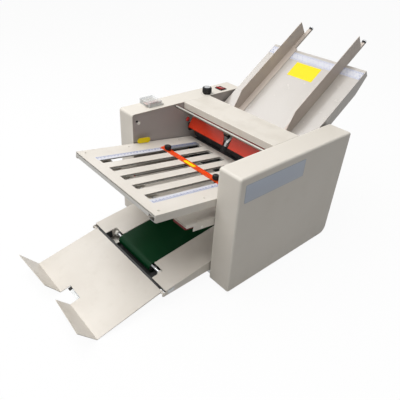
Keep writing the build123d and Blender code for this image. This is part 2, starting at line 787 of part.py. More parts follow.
def gear_outline(teeth, phase):
    """Spur gear outline with three points on each flank."""
    pitch = GEAR_MODULE * teeth / 2
    base = pitch * math.cos(math.radians(PRESSURE_ANGLE))
    root = pitch - DEDENDUM_SHARE * GEAR_MODULE
    tip = pitch + GEAR_MODULE
    half = math.pi / (2 * teeth) - TOOTH_PLAY / (2 * pitch) + involute_angle(pitch, base)
    flank = [(r, half - involute_angle(r, base)) for r in (root, pitch, tip)]
    points = []
    for tooth in range(teeth):
        middle = phase + 2 * math.pi * tooth / teeth
        rising = [(r, middle - a) for r, a in flank]
        falling = [(r, middle + a) for r, a in reversed(flank)]
        points += [(r * math.cos(a), r * math.sin(a)) for r, a in rising + falling]
    return polygon(points)


def gear(place, teeth, phase):
    """Gear with a hub, bored for its journal."""
    wheel = side_prism(gear_outline(teeth, phase), GEAR_LEFT, GEAR_RIGHT)
    wheel += x_bar(GEAR_HUB_RADIUS, GEAR_RIGHT, SHAFT_RIGHT, 0, 0)
    wheel -= x_bar(JOURNAL_RADIUS, GEAR_LEFT - OVERRUN, SHAFT_RIGHT + OVERRUN, 0, 0)
    return Pos(0, place[0], place[1]) * wheel


def meshed_phase(driver, driver_teeth, driver_phase, driven, driven_teeth):
    """Phase that puts a gap of the driven gear at the driver's tooth."""
    line = math.atan2(driven[1] - driver[1], driven[0] - driver[0])
    ahead = driver_phase - line
    return line + math.pi + math.pi / driven_teeth - ahead * driver_teeth / driven_teeth


def gear_phases():
    phases = [0.0]
    for i in range(1, ROLLER_COUNT):
        phases.append(meshed_phase(ROLLERS[i - 1], ROLLER_TEETH, phases[-1],
                                   ROLLERS[i], ROLLER_TEETH))
    return phases


PHASES = gear_phases()
FEED_PHASE = meshed_phase(ROLLERS[0], ROLLER_TEETH, PHASES[0], FEED, FEED_TEETH)


def bush(y, z):
    """Flanged bush pressed into the right-hand frame."""
    sleeve = x_bar(BUSH_RADIUS, FRAME_INNER, FRAME_OUTER + BUSH_STAND_OUT, y, z)
    sleeve += x_bar(BUSH_FLANGE_RADIUS, FRAME_INNER - BUSH_FLANGE, FRAME_INNER, y, z)
    return sleeve - x_bar(JOURNAL_RADIUS + RUNNING_FIT, FRAME_INNER - 2 * BUSH_FLANGE,
                          FRAME_OUTER + 2 * BUSH_STAND_OUT, y, z)


def roller_bushes():
    bushes = []
    for y, z in BUSHED:
        bushes += both_sides(bush(y, z))
    return group(bushes)


def feed_roller():
    """Rubber-tyred feed roller on its through shaft."""
    y, z = FEED
    half = FEED_RUBBER_LENGTH / 2
    tyre = x_bar(FEED_RADIUS, -half, half, y, z)
    hub = x_bar(FEED_RADIUS / 2, -half * HUB_SHARE, half * HUB_SHARE, y, z)
    return tyre + hub + journal(SHAFT_LEFT, FEED)


# Drive: motor on the base, one toothed belt round three pulleys

def drive_motor():
    """Motor can with a nose that seats in the left frame, and its saddle feet."""
    y, z = MOTOR_PLACE
    left = -FRAME_INNER
    can = x_bar(MOTOR_RADIUS, left + MOTOR_FLANGE, left + MOTOR_LENGTH, y, z)
    can = chamfer(can.edges().group_by(Axis.X)[-1], MOTOR_FLANGE / 2)
    can += x_bar(MOTOR_RADIUS - MOTOR_FLANGE, left, left + MOTOR_FLANGE, y, z)
    can += x_bar(MOTOR_NOSE_RADIUS, left - MOTOR_NOSE, left, y, z)
    half = CRADLE_WIDTH / 2
    middle = left + MOTOR_LENGTH / 2
    saddle = span_box(middle - half, middle + half, y - MOTOR_RADIUS * SADDLE_SHARE,
                      y + MOTOR_RADIUS * SADDLE_SHARE, BASE_TOP, z)
    can += saddle
    bore = x_bar(MOTOR_SHAFT_RADIUS + RUNNING_FIT, left - MOTOR_NOSE - OVERRUN,
                 left + MOTOR_SHAFT_IN, y, z)
    return can - bore


def pulley(place, radius, bore):
    """Flanged belt pulley outside the left frame."""
    y, z = place
    wheel = x_bar(radius, PULLEY_LEFT, PULLEY_RIGHT, y, z)
    rim = radius + PULLEY_FLANGE_STEP
    wheel += x_bar(rim, PULLEY_LEFT, PULLEY_LEFT + PULLEY_FLANGE, y, z)
    wheel += x_bar(rim, PULLEY_RIGHT - PULLEY_FLANGE, PULLEY_RIGHT, y, z)
    if bore:
        wheel -= x_bar(bore, PULLEY_LEFT - OVERRUN, PULLEY_RIGHT + OVERRUN, y, z)
    return wheel


def motor_pulley():
    """Small pulley with the motor's shaft."""
    y, z = MOTOR_PLACE
    shaft = x_bar(MOTOR_SHAFT_RADIUS, PULLEY_RIGHT, MOTOR_SHAFT_IN - FRAME_INNER - SHEET, y, z)
    return pulley(MOTOR_PLACE, MOTOR_PULLEY_RADIUS, 0) + shaft


def roller_pulley():
    return pulley(ROLLERS[PULLEY_ROLLER], ROLLER_PULLEY_RADIUS, JOURNAL_RADIUS)


def conveyor_pulley():
    return pulley(CONVEYOR_REAR, CONVEYOR_PULLEY_RADIUS, JOURNAL_RADIUS)


def loop_face(circles):
    """Face inside a tight band round circles listed counterclockwise."""
    normals = []
    count = len(circles)
    for i in range(count):
        (a, ra), (b, rb) = circles[i], circles[(i + 1) % count]
        heading = math.atan2(b[1] - a[1], b[0] - a[0])
        normals.append(heading - math.acos((ra - rb) / apart(a, b)))
    edges = []
    for i in range(count):
        (a, ra), (b, rb) = circles[i], circles[(i + 1) % count]
        arrive, leave = normals[i - 1], normals[i]
        while leave < arrive:
            leave += 2 * math.pi
        spots = [(a[0] + ra * math.cos(t), a[1] + ra * math.sin(t))
                 for t in (arrive, (arrive + leave) / 2, leave)]
        edges.append(ThreePointArc(*spots))
        end = (b[0] + rb * math.cos(leave), b[1] + rb * math.sin(leave))
        edges.append(Line(spots[2], end))
    return make_face(edges)


def band(circles, thickness, x0, x1):
    """Endless belt round circles, clear of them by the belt gap."""
    inner = [(place, radius + BELT_GAP) for place, radius in circles]
    outer = [(place, radius + thickness) for place, radius in inner]
    loop = side_prism(loop_face(outer), x0, x1)
    return loop - side_prism(loop_face(inner), x0 - OVERRUN, x1 + OVERRUN)


def timing_belt():
    circles = [
        (CONVEYOR_REAR, CONVEYOR_PULLEY_RADIUS),
        (MOTOR_PLACE, MOTOR_PULLEY_RADIUS),
        (ROLLERS[PULLEY_ROLLER], ROLLER_PULLEY_RADIUS),
    ]
    inset = PULLEY_FLANGE + SEAT_GAP
    return band(circles, TIMING_BELT, PULLEY_LEFT + inset, PULLEY_RIGHT - inset)


# Delivery: folded bed, two rollers and an endless green belt

def bed_sheet():
    """Side sheets and the dropped pan that the belt slides on."""
    outer = BED_WIDTH / 2
    inner = BELT_WIDTH / 2 + BELT_SIDE_GAP
    floor = -BELT_THICKNESS - PAN_DROP
    pan_front = FRONT_ROLLER_AT + BELT_ROLLER_RADIUS + PAN_END_GAP
    pan_rear = REAR_ROLLER_AT - BELT_ROLLER_RADIUS - PAN_END_GAP
    sheet = span_box(-inner, inner, pan_front, pan_rear, floor - SHEET, floor)
    notch = span_box(inner - OVERRUN, inner + NOTCH_REACH, -OVERRUN, NOTCH_DEPTH,
                     -2 * SHEET, OVERRUN)
    side = span_box(inner, outer, 0, BED_LENGTH, -SHEET, 0) - notch
    side += span_box(inner, inner + SHEET, pan_front, pan_rear, floor - SHEET, 0)
    for piece in both_sides(side):
        sheet += piece
    return sheet


def bed_flange():
    """Wedge-shaped side flange with the ear of the receiving tray's hinge."""
    outer = BED_WIDTH / 2
    outline = polygon([(0, -SHEET), (BED_LENGTH, -SHEET), (BED_LENGTH, -BED_REAR_FLANGE),
                       (0, -BED_FRONT_FLANGE)])
    flange = side_flange(BED_WIDTH, outline, BED_STUD_SHARES, BED_LENGTH)
    hinge = HINGE_LOCAL
    flange += x_bar(HINGE_EAR_RADIUS, outer - SHEET, outer, hinge[0], hinge[1])
    flange += span_box(outer - SHEET, outer, hinge[0], SHEET, hinge[1] - HINGE_EAR_RADIUS,
                       hinge[1] + HINGE_EAR_RADIUS * EAR_WEB_SHARE)
    bore = x_bar(HINGE_PIN_RADIUS + RUNNING_FIT, outer - 2 * SHEET, outer + SHEET,
                 hinge[0], hinge[1])
    shaft_hole = x_bar(JOURNAL_RADIUS + SHAFT_CLEARANCE, outer - 2 * SHEET, outer + SHEET,
                       REAR_ROLLER_AT, BELT_UNDER)
    return flange - bore - shaft_hole


EAR_TURN = math.radians(BED_SLOPE)
HINGE_LOCAL = (
    -HINGE_FRONT_GAP * math.cos(EAR_TURN) - HINGE_DROP * math.sin(EAR_TURN),
    HINGE_FRONT_GAP * math.sin(EAR_TURN) - HINGE_DROP * math.cos(EAR_TURN),
)


def bed_tab():
    """Down-turned tab that carries one end of the front roller's shaft."""
    inner = BELT_WIDTH / 2 + BELT_SIDE_GAP + NOTCH_REACH
    low = FRONT_ROLLER_AT - BED_TAB_WIDTH / 2
    high = FRONT_ROLLER_AT + BED_TAB_WIDTH / 2
    tab = span_box(inner, inner + SHEET, low, high, -BED_TAB_DEPTH, -SHEET)
    return tab - x_bar(BELT_SHAFT_RADIUS + RUNNING_FIT, inner - OVERRUN, inner + 2 * SHEET,
                       FRONT_ROLLER_AT, BELT_UNDER)


def delivery_bed():
    bed = bed_sheet()
    for piece in both_sides(bed_flange()) + both_sides(bed_tab()):
        bed += piece
    return BED * bed


def conveyor_roller_front():
    """Crowned end roller on a bright shaft."""
    y, z = CONVEYOR_FRONT
    half = BELT_WIDTH / 2
    reach = half + BELT_SIDE_GAP + NOTCH_REACH + 2 * SHEET
    return x_bar(BELT_ROLLER_RADIUS, -half, half, y, z) + x_bar(
        BELT_SHAFT_RADIUS, -reach, reach, y, z)


def conveyor_roller_rear():
    """Driven roller: its shaft runs through both frames to the belt pulley."""
    y, z = CONVEYOR_REAR
    half = BELT_WIDTH / 2
    right = FRAME_OUTER + BUSH_STAND_OUT
    return x_bar(BELT_ROLLER_RADIUS, -half, half, y, z) + x_bar(
        JOURNAL_RADIUS, PULLEY_LEFT, right, y, z)


def conveyor_belt():
    circles = [(CONVEYOR_FRONT, BELT_ROLLER_RADIUS), (CONVEYOR_REAR, BELT_ROLLER_RADIUS)]
    return band(circles, BELT_THICKNESS, -BELT_WIDTH / 2, BELT_WIDTH / 2)


def tray_flap():
    """Right-hand flap: wider outside, turned up from the tray's front edge."""
    inner = OUT_NOTCH_WIDTH / 2
    outer = OUT_TRAY_WIDTH / 2
    root = SHEET / 2
    outline = polygon([(inner, root), (outer, root), (outer, -FLAP_OUTER),
                       (inner + FLAP_FOLD, -FLAP_INNER)])
    flap = extrude(outline, amount=-SHEET)
    edge = Pos(0, -OUT_TRAY_LENGTH, HINGE_LIFT) * Rot(-(FLAP_ANGLE + OUT_TRAY_SLOPE), 0, 0)
    return edge * flap


def receiving_tray():
    """Hinged catch tray with two flared flaps and a finger notch between them."""
    half = OUT_TRAY_WIDTH / 2
    under = HINGE_LIFT - SHEET
    tray = span_box(-half, half, -OUT_TRAY_LENGTH, SHEET, under, HINGE_LIFT)
    notch = OUT_NOTCH_WIDTH / 2
    front = OUT_NOTCH_DEPTH - OUT_TRAY_LENGTH
    tray -= span_box(-notch, notch, -OUT_TRAY_LENGTH - OVERRUN, front,
                     under - OVERRUN, HINGE_LIFT + OVERRUN)
    outline = polygon([(-OUT_TRAY_LENGTH, under), (0, HINGE_LIFT - OUT_TRAY_EDGE),
                       (0, HINGE_LIFT), (-OUT_TRAY_LENGTH, HINGE_LIFT)])
    side = side_prism(outline, half - SHEET, half)
    side += x_bar(HINGE_PIN_RADIUS + SHEET, half - SHEET, half, 0, 0)
    side += x_bar(HINGE_PIN_RADIUS, half, BED_WIDTH / 2 + SHEET, 0, 0)
    tray_side = both_sides(side) + both_sides(tray_flap())
    for piece in tray_side:
        tray += piece
    return OUT_TRAY * tray


# Feed tray, paper guides and their end knobs

def tray_flange():
    """Side flange, shallow at the far edge and deep towards the machine."""
    outline = polygon([(0, -SHEET), (0, -TRAY_FAR_FLANGE), (-TRAY_FLANGE_TAPER, -TRAY_SIDE_FLANGE),
                       (-TRAY_FLANGE_SHARE * TRAY_LENGTH, -TRAY_SIDE_FLANGE),
                       (-TRAY_LENGTH, -TRAY_FAR_FLANGE), (-TRAY_LENGTH, -SHEET)])
    outer = TRAY_WIDTH / 2
    flange = side_prism(outline, outer - SHEET, outer)
    for share in TRAY_STUD_SHARES:
        flange -= x_bar(STUD_RADIUS + STUD_CLEARANCE, outer - 2 * SHEET, outer + SHEET,
                        -share * TRAY_LENGTH, -STUD_DROP)
    return flange - x_bar(JOURNAL_RADIUS + SHAFT_CLEARANCE, outer - 2 * SHEET,
                          outer + SHEET, FEED_AT, FEED_UNDER)


def feed_tray():
    half = TRAY_WIDTH / 2
    tray = span_box(-half, half, -TRAY_LENGTH, 0, -SHEET, 0)
    tray += span_box(-half, half, -SHEET, 0, -TRAY_EDGE_LIP, 0)
    wide = FEED_RUBBER_LENGTH / 2 + FEED_CUT_CLEARANCE
    reach = FEED_RADIUS + FEED_CUT_CLEARANCE
    tray -= span_box(-wide, wide, -TRAY_LENGTH - OVERRUN, FEED_AT + reach,
                     -2 * SHEET, OVERRUN)
    for piece in both_sides(tray_flange()):
        tray += piece
    return TRAY * tray


GUIDE_FACE = GUIDE_SPACING / 2
FIN_TOE_AT = TRAY_LENGTH - FIN_TOE_GAP
FIN_SHOULDER_AT = TRAY_LENGTH - FIN_SHOULDER_GAP


def paper_guide():
    """Right-hand guide: upright fin outside, foot towards the middle."""
    low = SEAT_GAP
    outline = polygon([(-FIN_TOE_AT, low), (-FIN_TOE_AT, FIN_TOE_HEIGHT),
                       (-FIN_SHOULDER_AT, FIN_HEIGHT), (FIN_OVERHANG, FIN_HEIGHT),
                       (FIN_OVERHANG, low)])
    guide = side_prism(outline, GUIDE_FACE, GUIDE_FACE + SHEET)
    guide += span_box(GUIDE_FACE - GUIDE_FOOT, GUIDE_FACE, -FIN_TOE_AT, GUIDE_HOOK_REACH,
                      low, low + SHEET)
    bar_right = GUIDE_FACE
    bar_left = bar_right - GUIDE_BAR
    guide += span_box(bar_left, bar_right, GUIDE_HOOK_REACH, FIN_OVERHANG + GUIDE_BAR_REACH,
                      low + SHEET - GUIDE_BAR_DEPTH, low + SHEET)
    hook_right = GUIDE_FACE
    hook_left = hook_right - GUIDE_HOOK_WIDTH
    hook_low = -TRAY_EDGE_LIP - SEAT_GAP - SHEET
    guide += span_box(hook_left, hook_right, SEAT_GAP, SEAT_GAP + SHEET, hook_low, low)
    guide += span_box(hook_left, hook_right, -GUIDE_HOOK_REACH, SEAT_GAP, hook_low,
                      hook_low + SHEET)
    bore = Pos((bar_left + bar_right) / 2, FIN_OVERHANG + GUIDE_BAR_REACH,
               low + SHEET - GUIDE_BAR_DEPTH / 2)
    hole = Cylinder(END_KNOB_STUD_RADIUS + RUNNING_FIT, 2 * END_STUD_LENGTH)
    return guide - bore * Rot(90, 0, 0) * hole


def guide_knob_spot():
    """Where a guide's end knob meets the end of its bar."""
    return (GUIDE_FACE - GUIDE_BAR / 2, FIN_OVERHANG + GUIDE_BAR_REACH,
            SEAT_GAP + SHEET - GUIDE_BAR_DEPTH / 2)


def guide_knob():
    """Small knurled screw at the end of the right-hand guide."""
    x, y, z = guide_knob_spot()
    turn = Rot(-90, 0, 0)
    band_part = Pos(0, 0, END_KNOB_BAND / 2) * Cylinder(END_KNOB_RADIUS * BAND_SHARE, END_KNOB_BAND)
    cap_length = END_KNOB_LENGTH - END_KNOB_BAND
    cap = Pos(0, 0, END_KNOB_BAND + cap_length / 2) * Cylinder(END_KNOB_RADIUS, cap_length)
    cap = chamfer(cap.edges().group_by(Axis.Z)[-1], END_KNOB_RADIUS * CAP_SHARE)
    stud = Pos(0, 0, -END_STUD_LENGTH / 2 + SEAT_GAP) * Cylinder(
        END_KNOB_STUD_RADIUS, END_STUD_LENGTH - SEAT_GAP)
    return Pos(x, y + SEAT_GAP, z) * turn * (band_part + cap + stud)


def right_guide():
    return TRAY * paper_guide()


def left_guide():
    return TRAY * mirror(paper_guide(), about=Plane.YZ)


def right_guide_knob():
    return TRAY * guide_knob()


def left_guide_knob():
    return TRAY * mirror(guide_knob(), about=Plane.YZ)


# Finger guard and separator, both hung on the guard rod

GUARD = Pos(0, GUARD_ROD_PLACE[0], GUARD_ROD_PLACE[1]) * Rot(GUARD_ANGLE, 0, 0)


def finger_guard():
    """Clear red guard: two lobes under a band that clips round the rod."""
    half = GUARD_WIDTH / 2
    reach = ROD_RADIUS + GUARD_HEIGHT
    near = ROD_RADIUS + RUNNING_FIT
    sheet = span_box(-half, half, -reach, -near, -GUARD_SHEET / 2, GUARD_SHEET / 2)
    band_edge = -near - GUARD_BAND
    corner = (GUARD_GAP_LEFT - GUARD_CURVE, band_edge)
    foot = (GUARD_GAP_LEFT, -reach - OVERRUN)
    bend = (corner[0] + GUARD_CURVE * ARC_SHARE, band_edge - GUARD_CURVE * (1 - ARC_SHARE))
    edge = [
        ThreePointArc(foot, bend, corner),
        Line(corner, (GUARD_GAP_RIGHT, band_edge)),
        Line((GUARD_GAP_RIGHT, band_edge), (GUARD_GAP_RIGHT, foot[1])),
        Line((GUARD_GAP_RIGHT, foot[1]), foot),
    ]
    gap = extrude(Plane.XY.offset(-GUARD_SHEET) * make_face(edge), amount=2 * GUARD_SHEET)
    sheet -= gap
    for side in (-1, 1):
        x = side * (half - GUARD_RING_INSET)
        ring = x_bar(GUARD_RING, x - GUARD_RING_WIDTH / 2, x + GUARD_RING_WIDTH / 2, 0, 0)
        sheet += ring
    sheet -= x_bar(near, -half - OVERRUN, half + OVERRUN, 0, 0)
    gap_left = SEPARATOR_X - SEPARATOR_WIDTH / 2 - SEAT_GAP - OVERRUN
    gap_right = SEPARATOR_X + SEPARATOR_WIDTH / 2 + SEAT_GAP + OVERRUN
    sheet -= span_box(gap_left, gap_right, -SEPARATOR_RING - OVERRUN, 0,
                      -GUARD_SHEET, GUARD_SHEET)
    return GUARD * sheet


def screw_place():
    """Tip of the separator's front boss, Z along the boss and outwards."""
    tip = step(GUARD_ROD_PLACE, 180 + SEPARATOR_ARM_ANGLE, SEPARATOR_ARM_REACH)
    return Pos(SEPARATOR_X, tip[0], tip[1]) * Rot(90 + SEPARATOR_ARM_ANGLE, 0, 0)


def bar_between(start, end, width, x0, x1):
    """Flat bar between two places in Y and Z."""
    turn = math.degrees(math.atan2(end[1] - start[1], end[0] - start[0]))
    half = width / 2
    outline = [step(start, turn - 90, half), step(end, turn - 90, half),
               step(end, turn + 90, half), step(start, turn + 90, half)]
    return side_prism(polygon(outline), x0, x1)


def separator_pad():
    """Rubber-faced foot over the feed roller and the arm down to it."""
    x0 = SEPARATOR_X - SEPARATOR_WIDTH / 2
    x1 = SEPARATOR_X + SEPARATOR_WIDTH / 2
    low = FEED_PROUD + SEPARATOR_PAD_GAP
    high = low + SEPARATOR_PAD_HEIGHT
    reach = SEPARATOR_PAD_LENGTH / 2
    corners = [(-reach, low), (reach, low), (reach, high), (-reach, high)]
    pad = [at(TRAY, FEED_AT + along, height) for along, height in corners]
    heading = math.degrees(math.atan2(pad[3][1] - GUARD_ROD_PLACE[1],
                                      pad[3][0] - GUARD_ROD_PLACE[0]))
    root = SEPARATOR_RING * ARM_SHARE
    arm = [step(GUARD_ROD_PLACE, heading + 90, root), pad[2], pad[3],
           step(GUARD_ROD_PLACE, heading - 90, root)]
    return side_prism(polygon(pad), x0, x1) + side_prism(polygon(arm), x0, x1)


def separator_block():
    """Block on the guard rod: pad arm behind, cranked arm with a boss in front."""
    y, z = GUARD_ROD_PLACE
    x0 = SEPARATOR_X - SEPARATOR_WIDTH / 2
    x1 = SEPARATOR_X + SEPARATOR_WIDTH / 2
    inset = (SEPARATOR_WIDTH - SEPARATOR_ARM_WIDTH) / 2
    block = x_bar(SEPARATOR_RING, x0, x1, y, z) + separator_pad()
    knee = step(GUARD_ROD_PLACE, SEPARATOR_KNEE_ANGLE, SEPARATOR_KNEE_REACH)
    root = step(GUARD_ROD_PLACE, 180 + SEPARATOR_ARM_ANGLE,
                SEPARATOR_ARM_REACH - SEPARATOR_BOSS_LENGTH / 2)
    block += bar_between((y, z), knee, SEPARATOR_ARM_WIDTH, x0 + inset, x1 - inset)
    block += bar_between(knee, root, SEPARATOR_ARM_WIDTH, x0 + inset, x1 - inset)
    block += x_bar(SEPARATOR_ARM_WIDTH / 2, x0 + inset, x1 - inset, knee[0], knee[1])
    boss = Pos(0, 0, -SEPARATOR_BOSS_LENGTH / 2) * Cylinder(
        SEPARATOR_BOSS_RADIUS, SEPARATOR_BOSS_LENGTH)
    bore = Cylinder(SEPARATOR_SCREW_RADIUS + RUNNING_FIT, 2 * SEPARATOR_SCREW_DEPTH)
    block += screw_place() * boss
    block -= x_bar(ROD_RADIUS, x0 - OVERRUN, x1 + OVERRUN, y, z)
    return block - screw_place() * bore


def separator_knob():
    """Black fluted knob and its screw in the boss of the front arm."""
    head = Pos(0, 0, SEAT_GAP + SEPARATOR_KNOB_LENGTH / 2) * Cylinder(
        SEPARATOR_KNOB_RADIUS, SEPARATOR_KNOB_LENGTH)
    cutter = Cylinder(KNOB_LOBE_RADIUS, 3 * SEPARATOR_KNOB_LENGTH)
    for i in range(KNOB_LOBES):
        head -= Rot(0, 0, 360 * i / KNOB_LOBES) * Pos(SEPARATOR_KNOB_RADIUS, 0, 0) * cutter
    reach = SEPARATOR_SCREW_DEPTH - SEAT_GAP
    screw = Pos(0, 0, SEAT_GAP - reach / 2) * Cylinder(SEPARATOR_SCREW_RADIUS, reach)
    return screw_place() * (head + screw)


# Controls

def switch_body():
    """Outer length and width of the switch housing below the rim."""
    length = ROCKER_LENGTH + 2 * (ROCKER_PLAY + BEZEL_WALL)
    width = ROCKER_WIDTH + 2 * (ROCKER_PLAY + BEZEL_WALL)
    return length, width


def switch_bezel():
    """Black housing with a rim that sits on the cover."""
    x, y = ROCKER_PLACE
    length, width = switch_body()
    rim = extrude(RectangleRounded(BEZEL_LENGTH, BEZEL_WIDTH, BEZEL_CORNER_RADIUS),
                  amount=BEZEL_RIM)
    housing = Pos(0, 0, -SWITCH_DEPTH / 2) * Box(length, width, SWITCH_DEPTH)
    well = Pos(0, 0, BEZEL_RIM) * Box(ROCKER_LENGTH + 2 * ROCKER_PLAY,
                                      ROCKER_WIDTH + 2 * ROCKER_PLAY, 2 * WELL_DEPTH)
    body = rim + housing - well
    pin = Rot(90, 0, 0) * Cylinder(ROCKER_PIN_RADIUS + RUNNING_FIT,
                                   ROCKER_WIDTH + 2 * (ROCKER_PLAY + ROCKER_PIN_LENGTH))
    return Pos(x, y, COVER_HEIGHT) * (body - pin)


def rocker_switch():
    """Red rocker with a dished top, resting on its off side."""
    x, y = ROCKER_PLACE
    half = ROCKER_LENGTH / 2
    low = -ROCKER_HEIGHT / 2
    high = ROCKER_HEIGHT / 2
    outline = make_face([
        Line((-half, high), (-half, low)),
        Line((-half, low), (half, low)),
        Line((half, low), (half, high)),
        ThreePointArc((half, high), (0, high - ROCKER_DISH), (-half, high)),
    ])
    body = extrude(Plane.XZ * outline, amount=ROCKER_WIDTH / 2, both=True)
    pin = Rot(90, 0, 0) * Cylinder(ROCKER_PIN_RADIUS,
                                   ROCKER_WIDTH + 2 * (ROCKER_PIN_LENGTH + ROCKER_PLAY / 2))
    return Pos(x, y, COVER_HEIGHT) * Rot(0, -ROCKER_TILT, 0) * (body + pin)


def speed_knob():
    """Skirted dial with flutes and a shaft through the cover."""
    x, y = DIAL_PLACE
    skirt = Pos(0, 0, DIAL_SKIRT / 2) * Cylinder(DIAL_RADIUS, DIAL_SKIRT)
    skirt = chamfer(skirt.edges().group_by(Axis.Z)[-1], DIAL_RADIUS - DIAL_CAP_RADIUS - SEAT_GAP)
    cap = Pos(0, 0, DIAL_SKIRT + (DIAL_HEIGHT - DIAL_SKIRT) / 2) * Cylinder(
        DIAL_CAP_RADIUS, DIAL_HEIGHT - DIAL_SKIRT)
    for i in range(DIAL_FLUTES):
        turn = Rot(0, 0, 360 * i / DIAL_FLUTES)
        cap -= turn * Pos(DIAL_CAP_RADIUS, 0, DIAL_HEIGHT) * Cylinder(
            DIAL_FLUTE_RADIUS, 2 * (DIAL_HEIGHT - DIAL_SKIRT) - DIAL_SKIRT)
    shaft = Pos(0, 0, -DIAL_SHAFT_LENGTH / 2) * Cylinder(DIAL_SHAFT_RADIUS, DIAL_SHAFT_LENGTH)
    return Pos(x, y, COVER_HEIGHT + SEAT_GAP) * (skirt + cap + shaft)


COUNTER_X, COUNTER_Y = COUNTER_PLACE
CASE_HALF_WIDTH = COUNTER_WIDTH / 2 - LID_WALL - COUNTER_INSET
CASE_HALF_LENGTH = COUNTER_LENGTH / 2 - LID_WALL - COUNTER_INSET
CASE_TOP = COVER_HEIGHT + COUNTER_HEIGHT
LID_UNDER = COVER_HEIGHT + LID_PLATE + SEAT_GAP
LID_AXIS = (COUNTER_Y + COUNTER_LENGTH / 2 + SEAT_GAP + LID_BARREL_RADIUS,
            LID_UNDER + LID_BARREL_RADIUS)


def counter_ear():
    """Right-hand ear at the back of the counter's foot, bored for the lid's pin."""
    y, z = LID_AXIS
    outer = COUNTER_X + COUNTER_WIDTH / 2
    inner = outer - LID_EAR
    radius = LID_BARREL_RADIUS - LID_EAR_INSET
    ear = x_bar(radius, inner, outer, y, z)
    ear += span_box(inner, outer, y - radius, y + radius, COVER_HEIGHT + LID_PLATE, z)
    return ear - x_bar(LID_PIN_RADIUS + RUNNING_FIT, inner - OVERRUN, outer + OVERRUN, y, z)


def counter_body():
    """Sheet counter: a low case with a display window on a thin foot."""
    x, y = COUNTER_PLACE
    half = COUNTER_WIDTH / 2
    rear = LID_AXIS[0] + LID_BARREL_RADIUS
    foot = span_box(x - half, x + half, y - COUNTER_LENGTH / 2, rear,
                    COVER_HEIGHT, COVER_HEIGHT + LID_PLATE)
    case = span_box(x - CASE_HALF_WIDTH, x + CASE_HALF_WIDTH, y - CASE_HALF_LENGTH,
                    y + CASE_HALF_LENGTH, COVER_HEIGHT + LID_PLATE, CASE_TOP)
    case = chamfer(case.edges().group_by(Axis.Z)[-1], COUNTER_INSET / 2)
    window = Box(COUNTER_WINDOW[0], COUNTER_WINDOW[1], 2 * COUNTER_WINDOW_DEPTH)
    case -= Pos(x, y - BUTTON_PLACE[1] / 2, CASE_TOP) * window
    depth = BUTTON_DEPTH + BUTTON_TRAVEL + SEAT_GAP
    button_bore = Cylinder(BUTTON_RADIUS + RUNNING_FIT, 2 * depth)
    case -= Pos(x + BUTTON_PLACE[0], y + BUTTON_PLACE[1], CASE_TOP) * button_bore
    ear = counter_ear()
    return foot + case + ear + mirror(ear, about=Plane.YZ.offset(x))


def counter_cover():
    """Clear lid, open underneath, with a hinge barrel along its rear wall."""
    x, y = COUNTER_PLACE
    half = COUNTER_WIDTH / 2
    long = COUNTER_LENGTH / 2
    top = COVER_HEIGHT + LID_HEIGHT
    lid = span_box(x - half, x + half, y - long, y + long, LID_UNDER, top)
    lid = fillet(lid.edges().filter_by(Axis.Z), LID_CORNER_RADIUS)
    lid = offset(lid, amount=-LID_WALL, openings=lid.faces().sort_by(Axis.Z)[0])
    axis_y, axis_z = LID_AXIS
    end = half - LID_EAR - SEAT_GAP
    lid += x_bar(LID_BARREL_RADIUS, x - end, x + end, axis_y, axis_z)
    lid += span_box(x - end, x + end, y + long - LID_WALL, axis_y, axis_z,
                    axis_z + LID_BARREL_RADIUS / 2)
    reach = end + SEAT_GAP + LID_PIN_LENGTH
    return lid + x_bar(LID_PIN_RADIUS, x - reach, x + reach, axis_y, axis_z)


def reset_button():
    x, y = COUNTER_PLACE
    length = BUTTON_PROUD + BUTTON_DEPTH
    middle = CASE_TOP + BUTTON_PROUD - length / 2
    button = Pos(x + BUTTON_PLACE[0], y + BUTTON_PLACE[1], middle) * Cylinder(
        BUTTON_RADIUS, length)
    return fillet(button.edges().group_by(Axis.Z)[-1], BUTTON_PROUD * BUTTON_EDGE_SHARE)


def power_inlet():
    """Flanged appliance inlet with three flat pins in its mouth."""
    x, z = INLET_PLACE
    flange = RectangleRounded(*INLET_FLANGE, INLET_CORNER_RADIUS)
    body = extrude(flange, amount=INLET_FLANGE_SHEET)
    depth = INLET_DEPTH + INLET_BACK
    body += Pos(0, 0, -depth / 2) * Box(*INLET_BODY, depth)
    mouth = INLET_DEPTH + INLET_FLANGE_SHEET
    body -= Pos(0, 0, INLET_FLANGE_SHEET) * Box(*INLET_MOUTH, 2 * mouth)
    for across, up in ((-1, 0), (1, 0), (0, 1)):
        spot = Pos(across * INLET_PIN_STEP, up * INLET_PIN_RISE,
                   INLET_PIN_LENGTH / 2 - INLET_DEPTH)
        body += spot * Box(*INLET_PIN, INLET_PIN_LENGTH)
    return Pos(x, COVER_DEPTH, z) * Rot(-90, 0, 0) * body


# The machine: every node with the function that makes it

